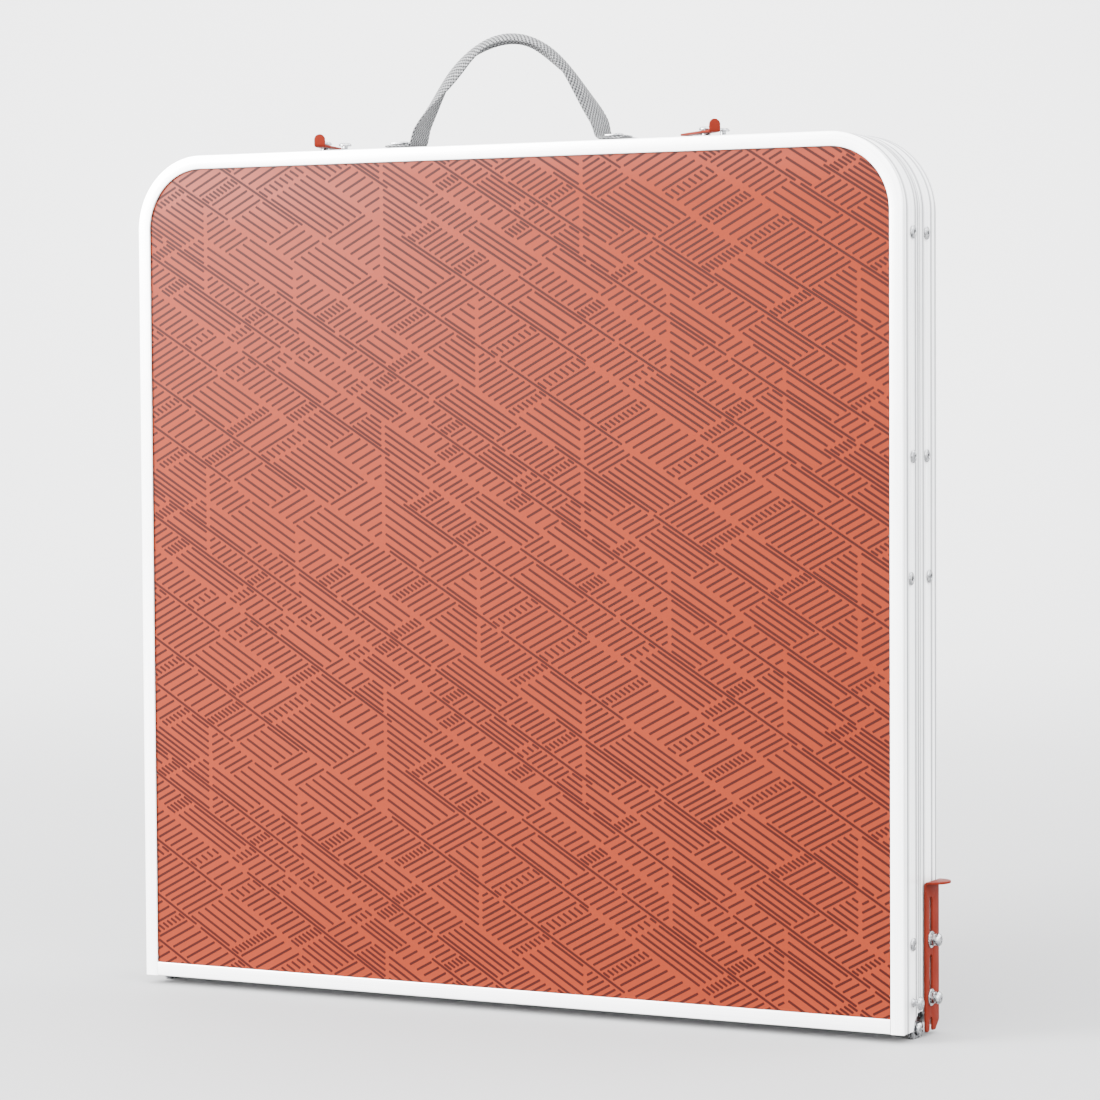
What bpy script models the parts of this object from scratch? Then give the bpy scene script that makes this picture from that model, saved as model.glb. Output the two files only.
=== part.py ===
"""Folding camping table, folded into its carrying shape and standing on its hinge edge.

Frame: origin under the middle of the folded table, on the surface it stands on. +X runs along the hinge line,
+Y from half a (front, printed face towards -Y) to half b, +Z up from the hinge line to the carrying strap.
Metres. Sizes named below are in millimetres and pass through MM.
"""

import math

import bmesh
import bpy
from mathutils import Matrix, Vector

MM = 0.001

# Overall sizes
HALF_WIDTH = 300.0          # hinge line, middle to outer face of a side rail
TRAY_HEIGHT = 600.0         # hinge edge to carrying edge
TRAY_DEPTH = 30.0           # outer face of one half to the plane between the halves
SEAM_GAP = 0.3              # each half stops this far from that plane
STAND_HEIGHT = 6.5          # rails stand clear of the floor on the hinge ears
CORNER_RADIUS = 53.5        # outer radius of the two carrying-edge corners
GAP = 0.3                   # between touching pieces

# Edge rail section: n runs inwards from the outer face, d from the printed face to the seam
WALL = 1.8
LIP = 9.85
SEAT_LIP = 9.5
SEAM_LIP = 8.0
GROOVE = 0.5
RIB_CENTRES = (8.6, 23.2)
RIB_HALF = 0.75
SLOT_TOP = 1.3
SLOT_BOTTOM = 4.6
SEAT_BOTTOM = 5.8
RAIL_END = TRAY_DEPTH - SEAM_GAP
CORNER_STEPS = 9

# Boards and battens
BOARD_THICK = 2.7
BOARD_EDGE = 3.5
BATTEN_Z = 303.0
BATTEN_WIDE = 24.0
BATTEN_FACE = 22.4
BATTEN_RIVET_Y = 16.5
BATTEN_TURN = 1.5           # thickness of the turned-up ends

# Legs
LEG_X = {"a": 250.0, "b": 227.0}    # half b's frame is narrower, to pass between half a's legs
LEG_Y = 12.0
LEG_PIVOT_Z = 532.5
LEG_RADIUS = 9.5
LEG_BORE = 8.3
LEG_TOP = 8.5               # tube beyond its pivot
LEG_TUBE = 335.0            # pivot to lower end of the outer tube
INNER_RADIUS = 8.0
INNER_BORE = 6.8
INNER_LENGTH = 232.0
FOOT_RADIUS = 10.5
FOOT_HEIGHT = 18.0
FOOT_BASE = 6.0
FOOT_Z = 172.0
CROSSBAR_Z = 282.5
CROSSBAR_RADIUS = 7.0
CROSSBAR_BORE = 5.8
COPE_DEPTH = 3.0            # bar's uncut end short of the leg's axis

# Wire braces
BRACE_X = 281.0
BRACE_Y = 12.0
BRACE_PIVOT_Z = 384.0
BRACE_LENGTH = 199.0
BRACE_WIRE = 2.5
BRACE_CORNER = 35.0
BRACE_END_BEND = 5.0
BRACE_TILT = math.radians(2.4)
BUSH_RADIUS = 4.4           # blind bush that carries the wire's end

# Hinge at each end of the hinge line
HINGE_Z = -0.3
EAR_RADIUS = 9.0
EAR_THICK = 2.0
EAR_OUTER_X = 296.9         # middle of half a's ear
EAR_INNER_X = 294.6         # middle of half b's ear
EAR_NEAR = 5.0              # strip of the ear, nearest and farthest from the seam
EAR_FAR = 21.0
EAR_TOP = 66.0
NOTCH_RADIUS = 12.0
HINGE_BOLT = 2.4
HINGE_HEAD = 4.8

# Slide lock on half b and its catch stud on half a
LOCK_Y = 13.5
STUD_Z = 19.3
LOCK_BOLT_Z = (19.3, 58.5)
LOCK_NEAR = 4.0
LOCK_FAR = 28.0
LOCK_BOTTOM = -3.6
LOCK_TOP = 95.0
LOCK_FACE = 300.6
LOCK_THICK = 1.5
SLOT_HALF = 2.6
LOCK_TRAVEL = 26.0
NOTCH_DEPTH = 9.5
TAB_REACH = 12.4

# Carrying edge: latches and strap
LATCH_X = 150.0
LATCH_Y = 14.0
LATCH_BASE = 2.7            # lever underside above the rail
LATCH_THICK = 1.5
LATCH_HOOK = 28.0           # pivot to catch
LATCH_TAIL = 15.5
LATCH_TAB = 7.5
LATCH_HALF = 5.0
REST_ANGLES = {"left": math.radians(105.0), "right": math.radians(139.0)}
STRAP_Y = -15.0
STRAP_WIDE = 25.0
STRAP_THICK = 2.0
STRAP_FOOT = 73.0
STRAP_END = 93.0
STRAP_RISE = 71.0
STRAP_RIVET_X = 84.5

# Fasteners
SHANK = 2.0
HOLE = 2.3
RIVET_HEAD = 3.6
PIVOT_SHANK = 2.5
PIVOT_HOLE = 2.8

COLOURS = {
    "white_aluminium": ((0.86, 0.87, 0.88, 1.0), 0.32, 0.35),
    "printed_board": ((0.62, 0.17, 0.09, 1.0), 0.42, 0.0),
    "leg_aluminium": ((0.74, 0.75, 0.76, 1.0), 0.3, 0.9),
    "zinc_steel": ((0.66, 0.67, 0.68, 1.0), 0.28, 1.0),
    "red_steel": ((0.64, 0.13, 0.07, 1.0), 0.4, 0.1),
    "webbing": ((0.42, 0.43, 0.44, 1.0), 0.9, 0.0),
    "black_plastic": ((0.03, 0.03, 0.03, 1.0), 0.55, 0.0),
}

for old in list(bpy.data.objects):
    bpy.data.objects.remove(old, do_unlink=True)

PARTS = bpy.data.collections.new("folding_table")
CUTTERS = bpy.data.collections.new("cutters")
bpy.context.scene.collection.children.link(PARTS)
bpy.context.scene.collection.children.link(CUTTERS)


def make_material(name):
    colour, roughness, metallic = COLOURS[name]
    made = bpy.data.materials.new(name)
    made.use_nodes = True
    shader = made.node_tree.nodes["Principled BSDF"]
    shader.inputs["Base Color"].default_value = colour
    shader.inputs["Roughness"].default_value = roughness
    shader.inputs["Metallic"].default_value = metallic
    return made


MATERIALS = {name: make_material(name) for name in COLOURS}


# ---- Building blocks -------------------------------------------------------------------------------------

def place(x, y, z):
    """A point given in millimetres from the rails' underside, in world metres."""
    return Vector((x, y, z + STAND_HEIGHT)) * MM


def new_object(name, data, matrix, material=None):
    """Link a mesh or curve as a part, or as a hidden cutter when it has no material."""
    thing = bpy.data.objects.new(name, data)
    thing.matrix_world = matrix
    if material is None:
        CUTTERS.objects.link(thing)
        thing.hide_render = True
        thing.display_type = "WIRE"
    else:
        PARTS.objects.link(thing)
        data.materials.append(MATERIALS[material])
    return thing


def as_mesh(curve_object, name, material=None):
    """Turn a curve object into a welded mesh object in the same place."""
    graph = bpy.context.evaluated_depsgraph_get()
    mesh = bpy.data.meshes.new_from_object(curve_object.evaluated_get(graph))
    mesh.materials.clear()
    shape = bmesh.new()
    shape.from_mesh(mesh)
    bmesh.ops.remove_doubles(shape, verts=shape.verts, dist=2e-6)
    bmesh.ops.recalc_face_normals(shape, faces=shape.faces)
    shape.to_mesh(mesh)
    shape.free()
    matrix = curve_object.matrix_world.copy()
    bpy.data.objects.remove(curve_object, do_unlink=True)
    return new_object(name, mesh, matrix, material)


def smooth(thing):
    thing.data.shade_smooth()
    thing.data.set_sharp_from_angle(angle=math.radians(35.0))


def frame_at(origin, x_axis, y_axis):
    """A placement whose local X and Y run along two given directions."""
    across = Vector(x_axis).normalized()
    along = Vector(y_axis).normalized()
    turn = Matrix((across, along, across.cross(along))).transposed().to_4x4()
    return Matrix.Translation(origin) @ turn


def axis_frame(origin, direction):
    """A placement whose local Z runs along a direction, with local X across it."""
    up = Vector(direction).normalized()
    side = Vector((0.0, 0.0, 1.0)) if abs(up.z) < 0.5 else Vector((1.0, 0.0, 0.0))
    return frame_at(origin, side, up.cross(side))


def turned(name, profile, origin, direction, material=None, closed=False, steps=12):
    """Turn a profile of (radius, height) points, listed from the top down, about an axis."""
    mesh = bpy.data.meshes.new(name)
    shape = bmesh.new()
    corners = [shape.verts.new((radius * MM, 0.0, height * MM)) for radius, height in profile]
    pairs = list(zip(corners, corners[1:]))
    if closed:
        pairs.append((corners[-1], corners[0]))
    for pair in pairs:
        shape.edges.new(pair)
    shape.to_mesh(mesh)
    shape.free()
    thing = new_object(name, mesh, axis_frame(origin, direction), material)
    screw = thing.modifiers.new("turn", "SCREW")
    screw.axis = "Z"
    screw.steps = steps
    screw.render_steps = steps
    screw.use_merge_vertices = True
    screw.merge_threshold = 1e-6
    screw.use_smooth_shade = False
    return thing


def cylinder(name, radius, low, high, origin, direction, material=None, sides=12):
    """A rod or cutter between two heights along a direction."""
    mesh = bpy.data.meshes.new(name)
    shape = bmesh.new()
    middle = Matrix.Translation((0.0, 0.0, (low + high) * 0.5 * MM))
    bmesh.ops.create_cone(
        shape,
        cap_ends=True,
        segments=sides,
        radius1=radius * MM,
        radius2=radius * MM,
        depth=(high - low) * MM,
        matrix=middle,
    )
    shape.to_mesh(mesh)
    shape.free()
    return new_object(name, mesh, axis_frame(origin, direction), material)


def tube(name, outer, bore, low, high, origin, direction, material, steps=16):
    profile = [(outer, high), (outer, low), (bore, low), (bore, high)]
    return turned(name, profile, origin, direction, material, closed=True, steps=steps)


def outline_plate(name, outlines, thickness, matrix, material=None):
    """A flat plate from closed outlines, the first outer and the rest holes, thick along local Z."""
    curve = bpy.data.curves.new(name, "CURVE")
    curve.dimensions = "2D"
    curve.fill_mode = "BOTH"
    curve.extrude = thickness * 0.5 * MM
    curve.resolution_u = 1
    curve.render_resolution_u = 0
    for outline in outlines:
        spline = curve.splines.new("POLY")
        spline.points.add(len(outline) - 1)
        spline.use_cyclic_u = True
        for point, (u, v) in zip(spline.points, outline):
            point.co = (u * MM, v * MM, 0.0, 1.0)
    drawn = new_object(name + "_outline", curve, matrix)
    return as_mesh(drawn, name, material)


def wire(name, path, radius, material, resolution=2):
    """A round wire through a path of world points, with flat ends."""
    curve = bpy.data.curves.new(name, "CURVE")
    curve.dimensions = "3D"
    curve.bevel_depth = radius * MM
    curve.bevel_resolution = resolution
    curve.use_fill_caps = True
    curve.render_resolution_u = 0
    spline = curve.splines.new("POLY")
    spline.points.add(len(path) - 1)
    for point, position in zip(spline.points, path):
        point.co = (*position, 1.0)
    drawn = new_object(name + "_path", curve, Matrix.Identity(4))
    return as_mesh(drawn, name, material)


def boolean(thing, other, operation):
    cut = thing.modifiers.new(operation.lower(), "BOOLEAN")
    cut.operation = operation
    cut.solver = "EXACT"
    cut.object = other


def cut_with(thing, cutters):
    for cutter in cutters:
        boolean(thing, cutter, "DIFFERENCE")
    return thing


def join_with(thing, additions):
    for addition in additions:
        boolean(thing, addition, "UNION")
    return thing


def arc(centre, radius, start, end, steps):
    """Points on an arc from one angle to another, in degrees, both ends included."""
    angles = [math.radians(start + (end - start) * step / steps) for step in range(steps + 1)]
    return [(centre[0] + radius * math.cos(a), centre[1] + radius * math.sin(a)) for a in angles]


def slot_outline(u, low, high, half, steps=4):
    """A round-ended slot along v."""
    return arc((u, high), half, 0.0, 180.0, steps) + arc((u, low), half, 180.0, 360.0, steps)


# ---- Edge rails, hinge rails and boards ------------------------------------------------------------------

def rail_section():
    """The extrusion's section as (n, d) points, once round."""
    outside = [(1.4, 0.0), (0.4, 0.4), (0.0, 1.4), (0.0, 3.4), (GROOVE, 4.0)]
    for centre in RIB_CENTRES:
        outside += [
            (GROOVE, centre - RIB_HALF - GROOVE),
            (0.0, centre - RIB_HALF),
            (0.0, centre + RIB_HALF),
            (GROOVE, centre + RIB_HALF + GROOVE),
        ]
    outside += [(GROOVE, RAIL_END - 3.2), (0.0, RAIL_END - 2.6), (0.0, RAIL_END - 1.2), (1.0, RAIL_END)]
    inside = [
        (SEAM_LIP, RAIL_END),
        (SEAM_LIP, RAIL_END - 1.2),
        (WALL, RAIL_END - 1.2),
        (WALL, SEAT_BOTTOM),
        (SEAT_LIP, SEAT_BOTTOM),
        (SEAT_LIP, SLOT_BOTTOM),
        (WALL, SLOT_BOTTOM),
        (WALL, SLOT_TOP),
        (LIP, SLOT_TOP),
        (LIP, 0.5),
        (LIP - 0.5, 0.0),
    ]
    return outside + inside


def swept_rail(name, path, half):
    """Sweep the rail section along a path of (x, z) points with the tray's inside on its right."""
    section = bpy.data.curves.new(name + "_section", "CURVE")
    section.dimensions = "2D"
    section.render_resolution_u = 0
    outline = section.splines.new("POLY")
    points = rail_section()
    outline.points.add(len(points) - 1)
    outline.use_cyclic_u = True
    for point, (n, d) in zip(outline.points, points):
        point.co = (n * MM, half * (d - TRAY_DEPTH) * MM, 0.0, 1.0)
    section_object = new_object(name + "_section", section, Matrix.Identity(4))
    curve = bpy.data.curves.new(name, "CURVE")
    curve.dimensions = "3D"
    curve.twist_mode = "Z_UP"
    curve.bevel_mode = "OBJECT"
    curve.bevel_object = section_object
    curve.use_fill_caps = True
    curve.render_resolution_u = 0
    spline = curve.splines.new("POLY")
    spline.points.add(len(path) - 1)
    for point, (x, z) in zip(spline.points, path):
        point.co = (x * MM, z * MM, 0.0, 1.0)
    lay_up = frame_at(place(0.0, 0.0, 0.0), (1.0, 0.0, 0.0), (0.0, 0.0, 1.0))
    drawn = new_object(name + "_path", curve, lay_up)
    rail = as_mesh(drawn, name, "white_aluminium")
    bpy.data.objects.remove(section_object, do_unlink=True)
    return rail


def edge_rail(tag, half):
    """The bent rail down both sides and across the carrying edge, notched round the hinge and drilled."""
    corner_x = HALF_WIDTH - CORNER_RADIUS
    corner_z = TRAY_HEIGHT - CORNER_RADIUS
    path = [(-HALF_WIDTH, 0.0)]
    path += arc((-corner_x, corner_z), CORNER_RADIUS, 180.0, 90.0, CORNER_STEPS)
    path += arc((corner_x, corner_z), CORNER_RADIUS, 90.0, 0.0, CORNER_STEPS)
    path += [(HALF_WIDTH, 0.0)]
    rail = swept_rail(f"edge_rail_{tag}", path, half)
    notch = cylinder("notch", NOTCH_RADIUS, -310.0, 310.0, place(0.0, 0.0, HINGE_Z), (1, 0, 0), sides=24)
    drills = [
        (SHANK, LOCK_Y, STUD_Z),
        (SHANK, LOCK_Y, LOCK_BOLT_Z[1]),
        (SHANK, BATTEN_RIVET_Y, BATTEN_Z),
        (SHANK, BRACE_Y, BRACE_PIVOT_Z),
        (PIVOT_SHANK, LEG_Y, LEG_PIVOT_Z),
    ]
    cutters = [notch]
    for radius, y, z in drills:
        spot = place(0.0, half * y, z)
        cutters.append(cylinder("drill", radius + GAP, -310.0, 310.0, spot, (1, 0, 0), sides=8))
    uprights = [(side * LATCH_X, half * LATCH_Y) for side in (-1, 1)]
    if half < 0:
        uprights += [(side * STRAP_RIVET_X, STRAP_Y) for side in (-1, 1)]
    for x, y in uprights:
        spot = place(x, y, TRAY_HEIGHT)
        cutters.append(cylinder("drill", SHANK + GAP, -6.0, 6.0, spot, (0, 0, 1), sides=8))
    cut_with(rail, cutters)
    smooth(rail)


def hinge_rail(tag, half):
    """The straight rail along the hinge line, butted between the side rails."""
    reach = HALF_WIDTH - LIP - GAP
    smooth(swept_rail(f"hinge_rail_{tag}", [(reach, 0.0), (-reach, 0.0)], half))


def board_outline():
    """The board inside its slots: square at the hinge edge, round at the carrying edge."""
    reach = HALF_WIDTH - BOARD_EDGE
    radius = CORNER_RADIUS - BOARD_EDGE
    top = TRAY_HEIGHT - BOARD_EDGE
    outline = [(-reach, BOARD_EDGE), (reach, BOARD_EDGE)]
    outline += arc((reach - radius, top - radius), radius, 0.0, 90.0, CORNER_STEPS)
    outline += arc((radius - reach, top - radius), radius, 90.0, 180.0, CORNER_STEPS)
    return outline


def board(tag, half):
    depth = TRAY_DEPTH - (SLOT_TOP + GAP + BOARD_THICK * 0.5)
    upright = frame_at(place(0.0, half * depth, 0.0), (1, 0, 0), (0, 0, 1))
    outline_plate(f"board_{tag}", [board_outline()], BOARD_THICK, upright, "printed_board")


def batten(tag, half):
    """A flat bar behind the board whose ends turn up against the side rails."""
    end = HALF_WIDTH - WALL - GAP
    lip_clear = HALF_WIDTH - LIP - GAP
    deep = TRAY_DEPTH - SLOT_BOTTOM - GAP
    over_lip = TRAY_DEPTH - SEAT_BOTTOM - GAP
    right = [
        (lip_clear, deep),
        (lip_clear, over_lip),
        (end, over_lip - 0.5),
        (end, BATTEN_RIVET_Y - 6.0),
        (end - BATTEN_TURN, BATTEN_RIVET_Y - 6.0),
        (end - BATTEN_TURN, BATTEN_FACE),
    ]
    outline = [(x, half * y) for x, y in right] + [(-x, half * y) for x, y in reversed(right)]
    flat = frame_at(place(0.0, 0.0, BATTEN_Z), (1, 0, 0), (0, 1, 0))
    bar = outline_plate(f"batten_{tag}", [outline], BATTEN_WIDE, flat, "leg_aluminium")
    spot = place(0.0, half * BATTEN_RIVET_Y, BATTEN_Z)
    cut_with(bar, [cylinder("drill", HOLE, -310.0, 310.0, spot, (1, 0, 0), sides=8)])


# ---- Hinge, studs and slide locks ------------------------------------------------------------------------

def nut_end(radius, high, thick):
    """The nut or clinched end that finishes a fastener's profile, from its seat down to the axis."""
    return [(radius, high), (radius, high - thick), (0.0, high - thick)]


def rivet_crown(base):
    """The domed head of a rivet from its top down to its rim."""
    return [(0.0, base + 1.1), (1.7, base + 1.0), (3.1, base + 0.55), (RIVET_HEAD, base)]


def rivet_profile(outer, inner):
    """A domed rivet from its top down: outer face of the work, then the clinched end inside."""
    clinch = RIVET_HEAD * 0.8
    return rivet_crown(outer) + [(SHANK, outer), (SHANK, inner)] + nut_end(clinch, inner, 1.2)


def batten_rivet(tag, half, side_name, side):
    """The rivet through a side rail and the turned-up end of the batten."""
    inner = HALF_WIDTH - WALL - GAP - BATTEN_TURN - GAP
    profile = rivet_profile(HALF_WIDTH + GAP, inner)
    spot = place(0.0, half * BATTEN_RIVET_Y, BATTEN_Z)
    smooth(turned(f"batten_rivet_{tag}_{side_name}", profile, spot, (side, 0, 0), "zinc_steel", steps=10))


def ear_outline(half):
    """A strip up the inside of the side rail that ends in a round eye about the hinge line."""
    join = math.degrees(math.asin(EAR_NEAR / EAR_RADIUS))
    foot = math.degrees(math.acos((STAND_HEIGHT + HINGE_Z) / EAR_RADIUS))
    eye = arc((0.0, 0.0), EAR_RADIUS, 90.0 + join, -90.0 + foot, 9)
    eye += arc((0.0, 0.0), EAR_RADIUS, -90.0 - foot, -168.0, 3)
    strip = [(-EAR_FAR, 14.0), (-EAR_FAR, EAR_TOP - 4.0), (-EAR_FAR + 4.0, EAR_TOP)]
    strip += [(-EAR_NEAR - 4.0, EAR_TOP), (-EAR_NEAR, EAR_TOP - 4.0)]
    return [(-half * u, v) for u, v in eye + strip]


def hinge_ear(tag, half, side_name, side):
    middle = EAR_OUTER_X if half < 0 else EAR_INNER_X
    upright = frame_at(place(side * middle, 0.0, HINGE_Z), (0, 1, 0), (0, 0, 1))
    name = f"hinge_ear_{tag}_{side_name}"
    ear = outline_plate(name, [ear_outline(half)], EAR_THICK, upright, "zinc_steel")
    spots = [(HINGE_BOLT, 0.0, HINGE_Z), (SHANK, half * LOCK_Y, STUD_Z)]
    if half > 0:
        spots.append((SHANK, half * LOCK_Y, LOCK_BOLT_Z[1]))
    cutters = []
    for radius, y, z in spots:
        spot = place(side * middle, y, z)
        cutters.append(cylinder("drill", radius + GAP, -2.0, 2.0, spot, (1, 0, 0), sides=8))
    cut_with(ear, cutters)
    if half < 0:
        profile = rivet_profile(HALF_WIDTH + GAP, EAR_OUTER_X - EAR_THICK * 0.5)
        spot = place(0.0, half * LOCK_Y, LOCK_BOLT_Z[1])
        join_with(ear, [turned("ear_rivet", profile, spot, (side, 0, 0), steps=10)])
    smooth(ear)


def pan_head(radius, base, height):
    """Top half of a pan-head profile, from the crown to the underside's rim."""
    crown = [(0.0, base + height), (radius * 0.7, base + height * 0.9)]
    return crown + [(radius, base + height * 0.45), (radius, base)]


def hinge_bolt(side_name, side):
    outer = EAR_OUTER_X + EAR_THICK * 0.5 + GAP
    inner = EAR_INNER_X - EAR_THICK * 0.5 - GAP
    profile = pan_head(HINGE_HEAD, outer, 2.6)
    profile += [(HINGE_BOLT, outer), (HINGE_BOLT, inner)] + nut_end(4.2, inner, 2.6)
    spot = place(0.0, 0.0, HINGE_Z)
    smooth(turned(f"hinge_bolt_{side_name}", profile, spot, (side, 0, 0), "zinc_steel", steps=12))


def catch_stud(side_name, side):
    """The mushroom-headed stud that the slide lock's notch closes on when the table is open."""
    face = HALF_WIDTH + GAP
    inner = EAR_OUTER_X - EAR_THICK * 0.5 - GAP
    profile = pan_head(4.6, face + 3.2, 3.4)
    profile += [(SHANK, face + 3.2), (SHANK, inner), (3.2, inner), (3.2, inner - 1.0), (0.0, inner - 1.0)]
    spot = place(0.0, -LOCK_Y, STUD_Z)
    smooth(turned(f"catch_stud_{side_name}", profile, spot, (side, 0, 0), "zinc_steel", steps=10))


def lock_bolt(side_name, side, row, z):
    """A shouldered bolt: nut inside the ear, hexagon over the slotted plate, pan head outside."""
    inner = EAR_INNER_X - EAR_THICK * 0.5 - GAP
    plate_top = LOCK_FACE + LOCK_THICK + 0.5
    profile = pan_head(4.4, plate_top + 4.0, 3.0)
    profile += [(SHANK, plate_top + 4.0), (SHANK, inner)] + nut_end(3.6, inner, 2.4)
    spot = place(0.0, LOCK_Y, z)
    bolt = turned(f"lock_bolt_{row}_{side_name}", profile, spot, (side, 0, 0), "zinc_steel", steps=10)
    hexagon = cylinder("hexagon", 4.1, plate_top, plate_top + 2.8, spot, (side, 0, 0), sides=6)
    join_with(bolt, [hexagon])
    smooth(bolt)


def slide_lock(side_name, side):
    """The slotted plate that slides along half b's side rail, with an open notch and a thumb tab."""
    middle_x = side * (LOCK_FACE + LOCK_THICK * 0.5)
    upright = frame_at(place(middle_x, 0.0, 0.0), (0, 1, 0), (0, 0, 1))
    near, far, low, high = LOCK_NEAR, LOCK_FAR, LOCK_BOTTOM, LOCK_TOP
    mouth_top = low + NOTCH_DEPTH - SLOT_HALF
    notch = [(LOCK_Y - SLOT_HALF, low)] + arc((LOCK_Y, mouth_top), SLOT_HALF, 180.0, 0.0, 4)
    notch += [(LOCK_Y + SLOT_HALF, low)]
    outline = [(near, low + 1.0), (near + 1.0, low)] + notch
    outline += [(far - 6.0, low), (far, low + 6.0), (far, high), (near, high)]
    slots = [slot_outline(LOCK_Y, z, z + LOCK_TRAVEL + 0.4, SLOT_HALF) for z in LOCK_BOLT_Z]
    plate = outline_plate(f"slide_lock_{side_name}", [outline] + slots, LOCK_THICK, upright, "red_steel")
    wide = (far - near) * 0.5 - 1.0
    middle_y = (near + far) * 0.5
    root = LOCK_FACE + 0.2
    tip = LOCK_FACE + LOCK_THICK + TAB_REACH
    tongue = [(side * root, middle_y - wide)]
    tongue += [(side * (tip - 7.0 + u), v) for u, v in arc((0.0, middle_y), 7.0, -90.0, 90.0, 6)]
    tongue += [(side * root, middle_y + wide)]
    flat = frame_at(place(0.0, 0.0, high - LOCK_THICK * 0.5 - 0.2), (1, 0, 0), (0, 1, 0))
    join_with(plate, [outline_plate("tongue", [tongue], LOCK_THICK, flat)])
    smooth(plate)


# ---- Legs and braces -------------------------------------------------------------------------------------

def outer_leg(tag, half, side_name, side):
    spot = place(side * LEG_X[tag], half * LEG_Y, LEG_PIVOT_Z)
    name = f"leg_tube_{tag}_{side_name}"
    leg = tube(name, LEG_RADIUS, LEG_BORE, -LEG_TUBE, LEG_TOP, spot, (0, 0, 1), "leg_aluminium")
    cut_with(leg, [cylinder("drill", PIVOT_HOLE, -20.0, 20.0, spot, (1, 0, 0), sides=8)])
    smooth(leg)


def inner_leg(tag, half, side_name, side):
    spot = place(side * LEG_X[tag], half * LEG_Y, FOOT_Z + FOOT_BASE + GAP)
    name = f"inner_leg_{tag}_{side_name}"
    smooth(tube(name, INNER_RADIUS, INNER_BORE, 0.0, INNER_LENGTH, spot, (0, 0, 1), "leg_aluminium"))


def foot(tag, half, side_name, side):
    """A plastic cup on the end of the inner leg."""
    bore = INNER_RADIUS + GAP
    profile = [
        (0.0, FOOT_BASE),
        (bore, FOOT_BASE),
        (bore, FOOT_HEIGHT),
        (FOOT_RADIUS - 0.8, FOOT_HEIGHT),
        (FOOT_RADIUS, FOOT_HEIGHT - 0.8),
        (FOOT_RADIUS, 1.5),
        (FOOT_RADIUS - 1.5, 0.0),
        (0.0, 0.0),
    ]
    spot = place(side * LEG_X[tag], half * LEG_Y, FOOT_Z)
    smooth(turned(f"foot_{tag}_{side_name}", profile, spot, (0, 0, 1), "black_plastic", steps=16))


def crossbar(tag, half):
    """The tube between a pair of legs, coped to fit round them."""
    spot = place(0.0, half * LEG_Y, CROSSBAR_Z)
    reach = LEG_X[tag] - COPE_DEPTH
    name = f"leg_crossbar_{tag}"
    bar = tube(name, CROSSBAR_RADIUS, CROSSBAR_BORE, -reach, reach, spot, (1, 0, 0), "leg_aluminium")
    copes = []
    for side in (-1, 1):
        foot_of_cut = place(side * LEG_X[tag], half * LEG_Y, CROSSBAR_Z)
        copes.append(cylinder("cope", LEG_RADIUS + GAP, -12.0, 12.0, foot_of_cut, (0, 0, 1), sides=20))
    cut_with(bar, copes)
    smooth(bar)


def leg_pivot(tag, half, side_name, side):
    """A long rivet from the side rail through the leg, with a flange at the rail and a collar at the leg."""
    wall = HALF_WIDTH - WALL - GAP
    outer_side = LEG_X[tag] + LEG_RADIUS + 0.6
    inner_side = LEG_X[tag] - LEG_RADIUS - GAP
    head = HALF_WIDTH + GAP
    profile = rivet_crown(head)
    profile += [(PIVOT_SHANK, head), (PIVOT_SHANK, wall), (5.0, wall), (5.0, wall - 1.5), (3.0, wall - 1.5)]
    profile += [(3.0, outer_side + 6.0), (5.5, outer_side + 6.0)]
    profile += [(5.5, outer_side), (PIVOT_SHANK, outer_side)]
    profile += [(PIVOT_SHANK, inner_side)] + nut_end(4.6, inner_side, 1.6)
    spot = place(0.0, half * LEG_Y, LEG_PIVOT_Z)
    name = f"leg_pivot_{tag}_{side_name}"
    smooth(turned(name, profile, spot, (side, 0, 0), "zinc_steel", steps=10))


def brace_pivot(tag, half, side_name, side):
    """A rivet with a blind bush inside the rail that carries the end of the wire brace."""
    wall = HALF_WIDTH - WALL - GAP
    head = HALF_WIDTH + GAP
    bore = BRACE_WIRE + GAP
    profile = rivet_crown(head) + [(SHANK, head), (SHANK, wall), (BUSH_RADIUS, wall)]
    profile += [(BUSH_RADIUS, wall - 9.0), (bore, wall - 9.0), (bore, wall - 2.0), (0.0, wall - 2.0)]
    spot = place(0.0, half * BRACE_Y, BRACE_PIVOT_Z)
    name = f"brace_pivot_{tag}_{side_name}"
    smooth(turned(name, profile, spot, (side, 0, 0), "zinc_steel", steps=10))


def wire_brace(tag, half):
    """The U-shaped wire folded towards the carrying edge, over the leg pivots."""
    end = HALF_WIDTH - WALL - GAP - 2.0 - GAP
    bend = BRACE_END_BEND
    corner = BRACE_CORNER
    right = [(end, 0.0)]
    right += arc((BRACE_X + bend, bend), bend, 270.0, 180.0, 4)
    right += arc((BRACE_X - corner, BRACE_LENGTH - corner), corner, 0.0, 90.0, 7)
    left = [(-x, length) for x, length in reversed(right)]
    rise = -half * math.sin(BRACE_TILT)
    run = math.cos(BRACE_TILT)
    corners = right + left
    path = [place(x, half * BRACE_Y + rise * far, BRACE_PIVOT_Z + run * far) for x, far in corners]
    smooth(wire(f"wire_brace_{tag}", path, BRACE_WIRE, "zinc_steel"))


# ---- Carrying edge: latches and strap --------------------------------------------------------------------

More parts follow.
